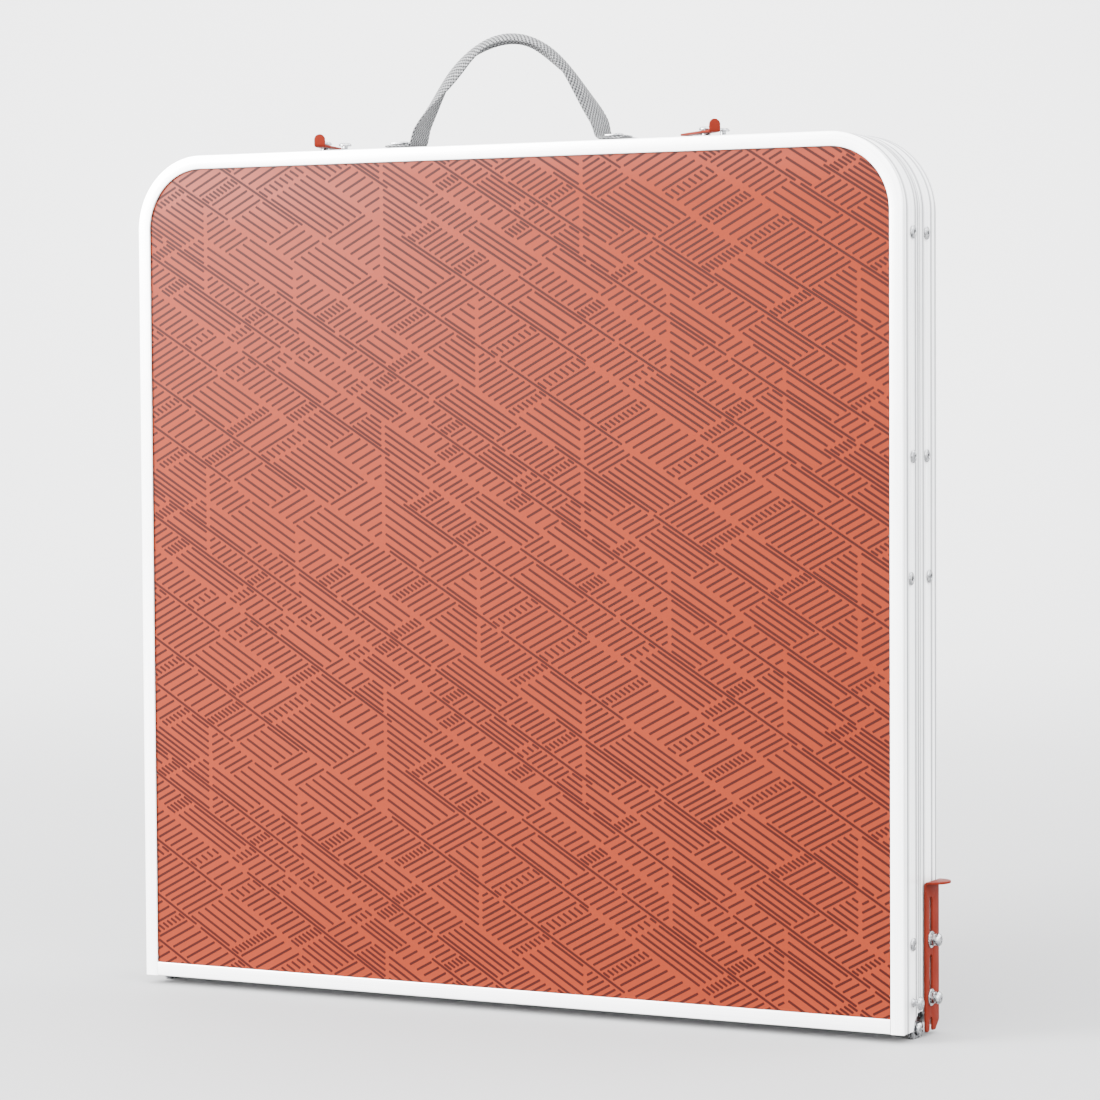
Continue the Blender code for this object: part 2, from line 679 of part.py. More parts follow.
def latch_screw(name, x, y, head_gap):
    """A screw through the rail's top wall with a flange on the rail and a pan head above the lever."""
    head = TRAY_HEIGHT + LATCH_BASE + LATCH_THICK + head_gap
    inner = TRAY_HEIGHT - WALL - GAP
    profile = [(0.0, head + 2.4), (3.2, head + 2.1), (4.6, head + 1.1), (4.6, head), (SHANK, head)]
    profile += [(SHANK, TRAY_HEIGHT + 2.4), (4.0, TRAY_HEIGHT + 2.4), (4.0, TRAY_HEIGHT + GAP)]
    profile += [(SHANK, TRAY_HEIGHT + GAP), (SHANK, inner)] + nut_end(3.6, inner, 2.0)
    smooth(turned(name, profile, place(x, y, 0.0), (0, 0, 1), "zinc_steel", steps=10))


def latch_lever(side_name, side):
    """A flat hook about its pivot, with an upturned thumb tab at the tail."""
    half_width = LATCH_HALF
    lip = LATCH_HOOK + 5.5
    mouth = 2.8
    outline = [(-LATCH_TAIL, -4.0), (-4.0, -half_width), (LATCH_HOOK - mouth, -half_width)]
    outline += [(LATCH_HOOK - mouth, 0.0)] + arc((LATCH_HOOK, 0.0), mouth, 150.0, 30.0, 3)
    outline += [(LATCH_HOOK + mouth, 0.0), (LATCH_HOOK + mouth, 1.0 - half_width)]
    outline += [(lip - 1.5, 0.5 - half_width)]
    outline += [(lip, 2.0 - half_width), (lip, half_width - 2.0), (lip - 2.0, half_width)]
    outline += [(-4.0, half_width), (-LATCH_TAIL, 4.0)]
    turn = REST_ANGLES[side_name]
    forward = (math.cos(turn), math.sin(turn), 0.0)
    across = (-math.sin(turn), math.cos(turn), 0.0)
    height = TRAY_HEIGHT + LATCH_BASE + LATCH_THICK * 0.5
    pivot = place(side * LATCH_X, -LATCH_Y, height)
    hole = arc((0.0, 0.0), HOLE, 0.0, 330.0, 11)
    flat = frame_at(pivot, forward, across)
    lever = outline_plate(f"latch_{side_name}", [outline, hole], LATCH_THICK, flat, "red_steel")
    tab = [(-4.0, -0.5), (4.0, -0.5)] + arc((0.0, LATCH_TAB - 3.2), 4.0, 0.0, 180.0, 6)
    tail = pivot - Vector(forward) * (LATCH_TAIL - LATCH_THICK * 0.5 - 0.1) * MM
    join_with(lever, [outline_plate("tab", [tab], LATCH_THICK, frame_at(tail, across, (0, 0, 1)))])
    smooth(lever)


def strap_line(steps=22):
    """The strap's middle line in (x, z): flat on the rail at both ends, arched between."""
    base = TRAY_HEIGHT + GAP + STRAP_THICK * 0.5
    points = []
    for step in range(steps + 1):
        x = -STRAP_FOOT * math.cos(math.pi * step / steps)
        rise = STRAP_RISE * max(0.0, 1.0 - (x / STRAP_FOOT) ** 2) ** 0.74
        points.append((x, base + rise))
    foot = [(-STRAP_END, base), (-STRAP_FOOT - 2.5, base)]
    other_foot = [(-x, z) for x, z in reversed(foot)]
    return foot + points[1:-1] + other_foot


def strap():
    """The webbing strap as one plain band."""
    line = strap_line()
    above = []
    below = []
    for index, (x, z) in enumerate(line):
        before = line[max(index - 1, 0)]
        after = line[min(index + 1, len(line) - 1)]
        along = Vector((after[0] - before[0], after[1] - before[1])).normalized()
        lift = Vector((-along.y, along.x)) * STRAP_THICK * 0.5
        above.append((x + lift.x, z + lift.y))
        below.append((x - lift.x, z - lift.y))
    upright = frame_at(place(0.0, STRAP_Y, 0.0), (1, 0, 0), (0, 0, 1))
    band = outline_plate("strap", [below + above[::-1]], STRAP_WIDE, upright, "webbing")
    drills = []
    for side in (-1, 1):
        spot = place(side * STRAP_RIVET_X, STRAP_Y, TRAY_HEIGHT)
        drills.append(cylinder("drill", HOLE, -2.0, 5.0, spot, (0, 0, 1), sides=8))
    cut_with(band, drills)
    smooth(band)


def strap_clamp(side_name, side):
    """A small plate over the strap's end with its rivet, down through the rail's wall."""
    plate_low = GAP + STRAP_THICK + GAP
    spot = place(side * STRAP_RIVET_X, STRAP_Y, TRAY_HEIGHT)
    inner = -WALL - GAP
    profile = [(0.0, plate_low + 2.6), (2.0, plate_low + 2.4), (3.4, plate_low + 1.6), (3.6, plate_low + 1.0)]
    profile += [(SHANK, plate_low + 0.8), (SHANK, inner)] + nut_end(3.6, inner, 1.4)
    clamp = turned(f"strap_clamp_{side_name}", profile, spot, (0, 0, 1), "zinc_steel", steps=10)
    half_long = 5.5
    half_wide = STRAP_WIDE * 0.5 - 0.5
    corners = [(-half_long, -half_wide), (half_long, -half_wide)]
    corners += [(half_long, half_wide), (-half_long, half_wide)]
    flat = frame_at(spot + Vector((0.0, 0.0, plate_low + 0.6)) * MM, (1, 0, 0), (0, 1, 0))
    join_with(clamp, [outline_plate("clamp_plate", [corners], 1.2, flat)])
    smooth(clamp)


# ---- Assembly --------------------------------------------------------------------------------------------

SIDES = (("left", -1), ("right", 1))

for tag, half in (("a", -1), ("b", 1)):
    edge_rail(tag, half)
    hinge_rail(tag, half)
    board(tag, half)
    batten(tag, half)
    crossbar(tag, half)
    wire_brace(tag, half)
    for side_name, side in SIDES:
        hinge_ear(tag, half, side_name, side)
        outer_leg(tag, half, side_name, side)
        inner_leg(tag, half, side_name, side)
        foot(tag, half, side_name, side)
        leg_pivot(tag, half, side_name, side)
        brace_pivot(tag, half, side_name, side)
        batten_rivet(tag, half, side_name, side)

for side_name, side in SIDES:
    hinge_bolt(side_name, side)
    catch_stud(side_name, side)
    slide_lock(side_name, side)
    for row, z in zip(("lower", "upper"), LOCK_BOLT_Z):
        lock_bolt(side_name, side, row, z)
    latch_screw(f"latch_pivot_{side_name}", side * LATCH_X, -LATCH_Y, 0.6)
    latch_screw(f"latch_catch_{side_name}", side * LATCH_X, LATCH_Y, 1.2)
    latch_lever(side_name, side)
    strap_clamp(side_name, side)

strap()
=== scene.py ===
import math
import random

import bmesh
import bpy
from mathutils import Matrix, Vector
from mathutils.geometry import delaunay_2d_cdt


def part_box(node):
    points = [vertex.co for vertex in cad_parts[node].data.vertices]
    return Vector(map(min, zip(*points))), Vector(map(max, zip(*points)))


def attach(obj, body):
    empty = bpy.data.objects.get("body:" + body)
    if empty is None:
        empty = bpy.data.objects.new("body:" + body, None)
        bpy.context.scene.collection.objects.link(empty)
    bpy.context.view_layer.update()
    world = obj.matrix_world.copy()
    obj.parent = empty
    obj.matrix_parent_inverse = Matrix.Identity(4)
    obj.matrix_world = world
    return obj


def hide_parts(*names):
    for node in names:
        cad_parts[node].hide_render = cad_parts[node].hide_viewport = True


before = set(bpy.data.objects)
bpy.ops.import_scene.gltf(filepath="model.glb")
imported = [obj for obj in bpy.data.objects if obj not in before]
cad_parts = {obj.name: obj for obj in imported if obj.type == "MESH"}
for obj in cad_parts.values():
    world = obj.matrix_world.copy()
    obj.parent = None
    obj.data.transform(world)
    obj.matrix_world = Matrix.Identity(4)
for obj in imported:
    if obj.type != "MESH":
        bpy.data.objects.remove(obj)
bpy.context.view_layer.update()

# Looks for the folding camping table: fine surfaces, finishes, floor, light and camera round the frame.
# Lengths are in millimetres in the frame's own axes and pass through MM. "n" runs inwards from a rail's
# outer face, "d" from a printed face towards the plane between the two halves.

MM = 0.001
SIDES = (("left", -1), ("right", 1))
HALVES = (("a", -1), ("b", 1))


# ---- Places read from the frame ------------------------------------------------------------------

def corners_of(node):
    """Lowest and highest corner of a CAD node in millimetres."""
    low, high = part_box(node)
    return low / MM, high / MM


def middle_of(node):
    low, high = corners_of(node)
    return (low + high) / 2


def reach_of(node):
    """How near to and how far from the middle plane x = 0 a sideways piece reaches."""
    low, high = corners_of(node)
    return min(abs(low.x), abs(high.x)), max(abs(low.x), abs(high.x))


RAIL_LOW, RAIL_HIGH = corners_of("edge_rail_a")
HALF_WIDTH = RAIL_HIGH.x
RAIL_FOOT = RAIL_LOW.z
RAIL_TOP = RAIL_HIGH.z
TRAY_DEPTH = -RAIL_LOW.y
RAIL_END = TRAY_DEPTH + RAIL_HIGH.y
HINGE = middle_of("hinge_bolt_left")
CORNER_RADIUS = 53.5
NOTCH_RADIUS = 12.0
HALF_EAR = {"a": reach_of("hinge_bolt_left")[1] - 3.9, "b": sum(reach_of("hinge_ear_b_left")) / 2}
BUTTON_RISE = 19.3
LEG_TRAVEL = 178.5

# Rail section
WALL = 1.8
LIP = 9.85
SEAT_LIP = 9.5
SEAM_LIP = 8.0
GROOVE = 0.5
RIB_CENTRES = (8.6, 23.2)
RIB_HALF = 0.75
SLOT_TOP = 1.3
SLOT_BOTTOM = 4.6
SEAT_BOTTOM = 5.8


# ---- Finishes ------------------------------------------------------------------------------------

class Finish:
    """A node material being put together around one Principled shader."""

    def __init__(self, name, roughness, metallic=0.0, **sockets):
        self.material = bpy.data.materials.new(name)
        self.material.use_nodes = True
        self.tree = self.material.node_tree
        self.shader = self.tree.nodes["Principled BSDF"]
        self.shader.inputs["Roughness"].default_value = roughness
        self.shader.inputs["Metallic"].default_value = metallic
        for socket, value in sockets.items():
            self.shader.inputs[socket.replace("_", " ")].default_value = value

    def node(self, kind, inputs=(), **settings):
        made = self.tree.nodes.new(kind)
        for key, value in settings.items():
            setattr(made, key, value)
        for key, value in dict(inputs).items():
            if isinstance(value, bpy.types.NodeSocket):
                self.tree.links.new(value, made.inputs[key])
            else:
                made.inputs[key].default_value = value
        return made

    def link(self, output, socket):
        self.tree.links.new(output, self.shader.inputs[socket])

    def place(self, scale, attribute=None):
        """Coordinates in millimetres, from the object or from an attribute, stretched by scale."""
        if attribute:
            source = self.node("ShaderNodeAttribute", attribute_name=attribute).outputs["Vector"]
            factor = Vector(scale)
        else:
            source = self.node("ShaderNodeTexCoord").outputs["Object"]
            factor = Vector(scale) / MM
        return self.node(
            "ShaderNodeMapping", {"Vector": source, "Scale": factor}, vector_type="POINT"
        ).outputs["Vector"]

    def noise(self, scale, detail=3.0, attribute=None, roughness=0.5):
        inputs = {"Vector": self.place(scale, attribute), "Scale": 1.0, "Detail": detail}
        return self.node("ShaderNodeTexNoise", {**inputs, "Roughness": roughness}).outputs["Fac"]

    def painted(self, attribute):
        """A number that the mesh holds at each of its points."""
        return self.node("ShaderNodeAttribute", attribute_name=attribute).outputs["Fac"]

    def blend(self, first, share, second):
        """A share of one number and the rest of another."""
        rest = self.maths("MULTIPLY", second, 1.0 - share)
        return self.maths("ADD", self.maths("MULTIPLY", first, share), rest)

    def ramp(self, source, *stops):
        """A colour ramp through (position, colour) stops."""
        made = self.node("ShaderNodeValToRGB", {"Fac": source})
        elements = made.color_ramp.elements
        while len(elements) < len(stops):
            elements.new(0.5)
        for element, (position, colour) in zip(elements, stops):
            element.position = position
            element.color = (*colour, 1.0)
        return made.outputs["Color"]

    def between(self, source, low, high, start=0.0, end=1.0):
        """source mapped from start..end to low..high."""
        inputs = {"Value": source, "From Min": start, "From Max": end, "To Min": low, "To Max": high}
        return self.node("ShaderNodeMapRange", inputs).outputs["Result"]

    def maths(self, operation, first, second):
        return self.node("ShaderNodeMath", {0: first, 1: second}, operation=operation).outputs[0]

    def mix(self, factor, first, second):
        made = self.node("ShaderNodeMix", {"Factor": factor}, data_type="RGBA")
        for index, value in ((6, first), (7, second)):
            if isinstance(value, bpy.types.NodeSocket):
                self.tree.links.new(value, made.inputs[index])
            else:
                made.inputs[index].default_value = (*value, 1.0)
        return made.outputs[2]

    def bump(self, *layers):
        """Surface relief from (height, distance in millimetres) layers."""
        normal = None
        for height, distance in layers:
            inputs = {"Height": height, "Distance": distance * MM, "Strength": 1.0}
            if normal is not None:
                inputs["Normal"] = normal
            normal = self.node("ShaderNodeBump", inputs).outputs["Normal"]
        self.link(normal, "Normal")


def satin_rail():
    """Bright satin aluminium: drawn lines run along the rail, and painted shade darkens the outer face beside
    its groove steps and at the seam.
    """
    made = Finish("satin_rail", 0.3, 0.3, Specular_IOR_Level=0.6)
    drawn = made.noise((0.015, 3.4, 1.0), 4.0, "run")
    broad = made.noise((0.003, 0.55, 1.0), 2.0, "run")
    cloudy = made.noise((0.012, 0.012, 0.012), 3.0)
    tone = made.blend(drawn, 0.35, broad)
    # painted shade: the edge attribute holds a dark band beside each groove step and at the seam, mixed below
    # towards dark grey
    groove = made.painted("edge")
    clean = made.ramp(tone, (0.36, (0.74, 0.745, 0.755)), (0.56, (0.965, 0.965, 0.965)))
    made.link(made.mix(made.between(groove, 0.0, 0.96), clean, (0.15, 0.153, 0.16)), "Base Color")
    made.link(made.between(made.maths("ADD", drawn, cloudy), 0.24, 0.36, 0.6, 1.4), "Roughness")
    made.bump((drawn, 0.012))
    return made.material


def print_base():
    """Coloured, lightly glossed lacquer on the board's outer face."""
    made = Finish("print_base", 0.36, Specular_IOR_Level=0.06)
    cloudy = made.noise((0.006, 0.006, 0.006), 3.0)
    fine = made.noise((1.3, 1.3, 1.3), 3.0)
    tone = made.blend(cloudy, 0.7, fine)
    made.link(made.ramp(tone, (0.3, (0.113, 0.0150, 0.0056)), (0.7, (0.126, 0.0176, 0.0068))), "Base Color")
    made.link(made.between(fine, 0.32, 0.42), "Roughness")
    peel = made.noise((0.25, 0.25, 0.25), 2.0)
    made.bump((peel, 0.03), (fine, 0.004))
    return made.material


def print_ink():
    """Dark brick ink of the printed strokes, a little uneven as screen print is."""
    made = Finish("print_ink", 0.4, Specular_IOR_Level=0.06)
    cloudy = made.noise((0.02, 0.02, 0.02), 2.0)
    speckle = made.noise((1.6, 1.6, 1.6), 3.0)
    tone = made.blend(cloudy, 0.5, speckle)
    made.link(made.ramp(tone, (0.3, (0.019, 0.0028, 0.0018)), (0.75, (0.025, 0.0038, 0.0025))), "Base Color")
    made.link(made.between(speckle, 0.34, 0.46), "Roughness")
    made.bump((speckle, 0.006))
    return made.material


def hardboard():
    """Brown pressed fibre on the board's inner face and edges."""
    made = Finish("hardboard", 0.82, Specular_IOR_Level=0.1)
    fibre = made.noise((0.9, 0.5, 0.9), 6.0, roughness=0.7)
    flecks = made.noise((0.18, 0.3, 0.45), 4.0, roughness=0.65)
    tone = made.blend(fibre, 0.55, flecks)
    colours = ((0.3, (0.052, 0.028, 0.014)), (0.5, (0.09, 0.053, 0.029)), (0.72, (0.13, 0.086, 0.052)))
    made.link(made.ramp(tone, *colours), "Base Color")
    made.link(made.between(fibre, 0.7, 0.92), "Roughness")
    made.bump((fibre, 0.05))
    return made.material


def brushed_aluminium(name, drawn_along):
    """Drawn aluminium tube and bar, its fine lines running along the given axis."""
    made = Finish(name, 0.3, 0.95)
    drawn = made.noise([0.02 if axis == drawn_along else 1.6 for axis in "xyz"], 4.0)
    cloudy = made.noise((0.02, 0.02, 0.02), 3.0)
    made.link(made.ramp(drawn, (0.3, (0.17, 0.174, 0.18)), (0.7, (0.28, 0.284, 0.29))), "Base Color")
    made.link(made.between(made.maths("ADD", drawn, cloudy), 0.22, 0.42, 0.6, 1.4), "Roughness")
    made.bump((drawn, 0.01))
    return made.material


def bright_zinc():
    """Bright zinc plate on small steel parts, faintly mottled, its roughness varying in patches."""
    made = Finish("bright_zinc", 0.2, 1.0)
    crystal = made.node(
        "ShaderNodeTexVoronoi", {"Vector": made.place((0.7, 0.7, 0.7)), "Scale": 1.0}, feature="F1"
    ).outputs["Distance"]
    cloudy = made.noise((0.35, 0.35, 0.35), 4.0)
    tone = made.maths("ADD", made.maths("MULTIPLY", crystal, 0.4), made.maths("MULTIPLY", cloudy, 0.7))
    colours = ((0.25, (0.06, 0.063, 0.068)), (0.5, (0.26, 0.265, 0.275)), (0.78, (0.52, 0.52, 0.52)))
    made.link(made.ramp(tone, *colours), "Base Color")
    made.link(made.between(cloudy, 0.14, 0.34, 0.3, 0.7), "Roughness")
    made.bump((cloudy, 0.02))
    return made.material


def red_paint():
    """Satin baked paint on the slide locks and latch levers, thin and chipped on their edges."""
    made = Finish("red_paint", 0.4, Specular_IOR_Level=0.01)
    cloudy = made.noise((0.05, 0.05, 0.05), 3.0)
    peel = made.noise((1.1, 1.1, 1.1), 2.0)
    chips = made.noise((0.8, 0.8, 0.8), 5.0, roughness=0.7)
    edge = made.painted("edge")
    worn = made.between(made.maths("MULTIPLY", edge, chips), 0.0, 0.5, 0.60, 0.72)
    paint = made.ramp(cloudy, (0.3, (0.086, 0.0092, 0.0050)), (0.7, (0.108, 0.0125, 0.0070)))
    made.link(made.mix(worn, paint, (0.16, 0.11, 0.10)), "Base Color")
    made.link(made.between(peel, 0.3, 0.46), "Roughness")
    made.link(made.between(worn, 0.0, 0.7), "Metallic")
    made.bump((peel, 0.05), (worn, -0.03))
    return made.material


def melange_web():
    """Grey melange webbing: light and dark fibres along each modelled yarn, with painted shade that darkens
    the sunk parts of the weave nearly to black.
    """
    made = Finish("melange_web", 0.88, Specular_IOR_Level=0.2, Sheen_Weight=0.05, Sheen_Roughness=0.5)
    fibre = made.noise((0.5, 6.0, 1.0), 5.0, "run", roughness=0.65)
    flecks = made.noise((0.9, 1.4, 1.0), 4.0, "run", roughness=0.7)
    tone = made.blend(fibre, 0.5, flecks)
    colours = ((0.38, (0.022, 0.022, 0.023)), (0.49, (0.12, 0.121, 0.123)), (0.60, (0.36, 0.36, 0.36)))
    # painted shade: the sunk share of the weave, read from the edge attribute, is darkened nearly to black
    depth = made.painted("edge")
    shade = made.between(depth, 0.0, 1.0, 0.3, 0.72)
    made.link(made.mix(shade, made.ramp(tone, *colours), (0.006, 0.006, 0.007)), "Base Color")
    made.link(made.between(fibre, 0.78, 0.96), "Roughness")
    made.bump((fibre, 0.12))
    return made.material


def moulded_black():
    """Black moulded plastic with a fine spark-eroded texture."""
    made = Finish("moulded_black", 0.5, Specular_IOR_Level=0.12)
    grain = made.noise((2.2, 2.2, 2.2), 3.0)
    dusty = made.noise((0.1, 0.1, 0.1), 4.0)
    made.link(made.ramp(dusty, (0.3, (0.0035, 0.0035, 0.0037)), (0.75, (0.008, 0.008, 0.0084))), "Base Color")
    made.link(made.between(grain, 0.42, 0.62), "Roughness")
    made.bump((grain, 0.04))
    return made.material


SATIN = satin_rail()
BASE = print_base()
INK = print_ink()
FIBRE = hardboard()
TUBE_METAL = brushed_aluminium("drawn_tube", "z")
BAR_METAL = brushed_aluminium("drawn_bar", "x")
ZINC = bright_zinc()
RED = red_paint()
WEB = melange_web()
BLACK = moulded_black()


# ---- Mesh building blocks ------------------------------------------------------------------------

def frame_at(origin, x_axis, y_axis):
    """A placement whose local X and Y run along two given directions, origin in millimetres."""
    across = Vector(x_axis).normalized()
    along = Vector(y_axis).normalized()
    turn = Matrix((across, along, across.cross(along))).transposed().to_4x4()
    return Matrix.Translation(Vector(origin)) @ turn


def axis_frame(origin, direction):
    """A placement whose local Z runs along a direction."""
    up = Vector(direction).normalized()
    side = Vector((0.0, 0.0, 1.0)) if abs(up.z) < 0.5 else Vector((1.0, 0.0, 0.0))
    return frame_at(origin, side, up.cross(side))


def add_piece(name, shape, finishes, body, stands_for=(), matrix=None, sharp=35.0):
    """Make a piece from (vertices, faces) in millimetres, and let it ride on a CAD body."""
    vertices, faces = shape[0], shape[1]
    extras = shape[2] if len(shape) > 2 else {}
    matrix = matrix or Matrix.Identity(4)
    mesh = bpy.data.meshes.new(name)
    mesh.from_pydata([(matrix @ Vector(v)) * MM for v in vertices], [], faces)
    for key, values in extras.items():
        if key == "slots":
            mesh.polygons.foreach_set("material_index", values)
        elif key == "run":
            attribute = mesh.attributes.new(key, "FLOAT_VECTOR", "POINT")
            attribute.data.foreach_set("vector", [x for value in values for x in value])
        else:
            mesh.attributes.new(key, "FLOAT", "POINT").data.foreach_set("value", values)
    for finish in finishes if isinstance(finishes, (list, tuple)) else [finishes]:
        mesh.materials.append(finish)
    cleaner = bmesh.new()
    cleaner.from_mesh(mesh)
    bmesh.ops.recalc_face_normals(cleaner, faces=cleaner.faces)
    cleaner.to_mesh(mesh)
    cleaner.free()
    thing = bpy.data.objects.new(name, mesh)
    bpy.context.scene.collection.objects.link(thing)
    soften(thing, sharp)
    if body:
        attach(thing, body)
        if stands_for:
            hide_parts(*stands_for)
    return thing


def soften(thing, sharp):
    thing.data.shade_smooth()
    thing.data.set_sharp_from_angle(angle=math.radians(sharp))


def merged(*shapes):
    """Several (vertices, faces, extras) shapes as one."""
    vertices = []
    faces = []
    edge = []
    for shape in shapes:
        start = len(vertices)
        vertices += list(shape[0])
        faces += [[start + i for i in face] for face in shape[1]]
        extras = shape[2] if len(shape) > 2 else {}
        edge += list(extras.get("edge", [0.0] * len(shape[0])))
    return vertices, faces, {"edge": edge}


def moved(shape, matrix):
    return [matrix @ Vector(v) for v in shape[0]], *shape[1:]


def arc(centre, radius, start, end, steps):
    """Points on an arc from one angle to another, in degrees, both ends included."""
    angles = [math.radians(start + (end - start) * step / steps) for step in range(steps + 1)]
    return [(centre[0] + radius * math.cos(a), centre[1] + radius * math.sin(a)) for a in angles]


def between_points(here, after, share):
    """The point a share of the way from one (u, v) point to another."""
    return here[0] + (after[0] - here[0]) * share, here[1] + (after[1] - here[1]) * share


def band(low, high, count):
    """The quads between two rings of count vertices, which start at low and at high."""
    return [[low + i, low + (i + 1) % count, high + (i + 1) % count, high + i] for i in range(count)]


def filled(flat, edges):
    """The triangles, by index, that fill the loops drawn by edges over flat points."""
    found = delaunay_2d_cdt(flat, edges, [], 1, 1e-6)
    source = [originals[0] for originals in found[3]]
    return [[source[i] for i in face] for face in found[2]]


def eased(before, here, after, radius, least, steps):
    """The points of one rounded corner, or the corner itself if its rounding would be less than least."""
    spot = Vector(here)
    back = Vector(before) - spot
    ahead = Vector(after) - spot
    half_angle = back.angle(ahead) / 2
    cut = min(radius / math.tan(half_angle), 0.49 * back.length, 0.49 * ahead.length)
    if cut < least:
        return [here]
    centre = spot + (back.normalized() + ahead.normalized()).normalized() * cut / math.cos(half_angle)
    start = spot + back.normalized() * cut - centre
    end = spot + ahead.normalized() * cut - centre
    spokes = [start.slerp(end, step / steps) * start.length for step in range(steps + 1)]
    return [(centre.x + spoke.x, centre.y + spoke.y) for spoke in spokes]


def round_corners(corners, steps=4):
    """A closed outline whose (u, v, radius) corners are rounded."""
    outline = []
    for index, (u, v, radius) in enumerate(corners):
        after = corners[(index + 1) % len(corners)][:2]
        outline += eased(corners[index - 1][:2], (u, v), after, radius, 0.02, steps)
    return outline


def is_left_turning(outline):
    area = sum(a[0] * b[1] - b[0] * a[1] for a, b in zip(outline, outline[1:] + outline[:1]))
    return area > 0


def drawn_in(outline, amount):
    """The outline moved to its left by amount at every edge."""
    moved_points = []
    for index, here in enumerate(outline):
        before = outline[index - 1]
        after = outline[(index + 1) % len(outline)]
        first = Vector((here[0] - before[0], here[1] - before[1])).normalized()
        second = Vector((after[0] - here[0], after[1] - here[1])).normalized()
        normal = Vector((-first.y - second.y, first.x + second.x))
        normal.normalize()
        reach = amount / max(normal.dot(Vector((-first.y, first.x))), 0.35)
        moved_points.append((here[0] + normal.x * reach, here[1] + normal.y * reach))
    return moved_points


def is_inside(point, outline):
    inside = False
    for here, after in zip(outline, outline[1:] + outline[:1]):
        if (here[1] > point.y) != (after[1] > point.y):
            crossing = here[0] + (after[0] - here[0]) * (point.y - here[1]) / (after[1] - here[1])
            inside = inside != (crossing > point.x)
    return inside


def plate(outer, holes, thickness, edge, folds=()):
    """A sheet from z = 0 to its thickness with rounded edges; folds join outer corners by index across it."""
    loops = [outer if is_left_turning(outer) else outer[::-1]]
    loops += [hole[::-1] if is_left_turning(hole) else hole for hole in holes]
    edge_steps = 3
    levels = []
    for step in range(edge_steps + 1):
        angle = math.pi / 2 * step / edge_steps
        levels.append((edge * (1 - math.sin(angle)), edge * (1 - math.cos(angle)), 1.0 if step else 0.0))
    rims = levels + [(inset, thickness - height, mark) for inset, height, mark in reversed(levels)]
    vertices = []
    marks = []
    rings = []
    for inset, height, mark in rims:
        starts = []
        for loop in loops:
            starts.append(len(vertices))
            vertices += [(u, v, height) for u, v in drawn_in(loop, inset)]
            marks += [mark] * len(loop)
        rings.append(starts)
    faces = []
    for low, high in zip(rings, rings[1:]):
        for loop, start, end in zip(loops, low, high):
            faces += band(start, end, len(loop))
    flat = [Vector(p) for loop in loops for p in drawn_in(loop, edge)]
    edges = []
    for loop, start in zip(loops, rings[0]):
        edges += [(start + i, start + (i + 1) % len(loop)) for i in range(len(loop))]
    flipped = not is_left_turning(outer)
    edges += [tuple(len(outer) - 1 - i if flipped else i for i in fold) for fold in folds]
    for corners in filled(flat, edges):
        centre = sum((flat[i] for i in corners), Vector((0.0, 0.0))) / len(corners)
        if not any(is_inside(centre, hole) for hole in loops[1:]):
            faces.append(corners[::-1])
            faces.append([rings[-1][0] + i for i in corners])
    return vertices, faces, {"edge": marks}


def turned(profile, steps=40, closed=False):
    """A profile of (radius, height) points turned about Z; closed joins its last point to its first."""
    vertices = []
    faces = []
    rings = []
    for radius, height in profile:
        if radius < 1e-6:
            rings.append([len(vertices)])
            vertices.append((0.0, 0.0, height))
            continue
        start = len(vertices)
        rings.append(list(range(start, start + steps)))
        for step in range(steps):
            angle = math.tau * step / steps
            vertices.append((radius * math.cos(angle), radius * math.sin(angle), height))
    pairs = list(zip(rings, rings[1:]))
    if closed:
        pairs.append((rings[-1], rings[0]))
    for upper, lower in pairs:
        for step in range(steps):
            after = (step + 1) % steps
            quad = [upper[step % len(upper)], upper[after % len(upper)]]
            quad += [lower[after % len(lower)], lower[step % len(lower)]]
            face = list(dict.fromkeys(quad))
            if len(face) > 2:
                faces.append(face)
    return vertices, faces


def rounded_profile(corners, steps=3):
    """An open (radius, height, fillet) profile with its corners rounded; the ends stay as they are."""
    profile = [corners[0][:2]]
    for before, here, after in zip(corners, corners[1:], corners[2:]):
        fillet = here[2] if len(here) > 2 else 0.0
        profile += eased(before[:2], here[:2], after[:2], fillet, 0.01, steps)
    profile.append(corners[-1][:2])
    return profile


def prism(outline, low, high, taper=1.0):
    """A solid from a convex or cross-shaped outline between two heights, its low end scaled by taper."""
    count = len(outline)
    vertices = [(u * taper, v * taper, low) for u, v in outline] + [(u, v, high) for u, v in outline]
    faces = band(0, count, count)
    faces += [list(range(count))[::-1], list(range(count, 2 * count))]
    return vertices, faces


def swept_tube(path, radius, sides=20, cap=0.4):
    """A round wire along a path of points, its ends slightly rounded."""
    points = [Vector(p) for p in path]
    tangents = []
    for index in range(len(points)):
        ahead = points[min(index + 1, len(points) - 1)]
        back = points[max(index - 1, 0)]
        tangents.append((ahead - back).normalized())
    side = tangents[0].orthogonal().normalized()
    vertices = []
    faces = []
    rings = []

    def ring(centre, along, size):
        rings.append(len(vertices))
        up = along.cross(side)
        for step in range(sides):
            angle = math.tau * step / sides
            vertices.append(centre + (side * math.cos(angle) + up * math.sin(angle)) * size)

    ring(points[0], tangents[0], radius - cap)
    ring(points[0] + tangents[0] * cap, tangents[0], radius)
    for point, along in zip(points[1:-1], tangents[1:-1]):
        side = (side - along * side.dot(along)).normalized()
        ring(point, along, radius)
    side = (side - tangents[-1] * side.dot(tangents[-1])).normalized()
    ring(points[-1] - tangents[-1] * cap, tangents[-1], radius)
    ring(points[-1], tangents[-1], radius - cap)
    for low, high in zip(rings, rings[1:]):
        faces += band(low, high, sides)
    faces += [[rings[0] + i for i in range(sides)][::-1], [rings[-1] + i for i in range(sides)]]
    return vertices, faces


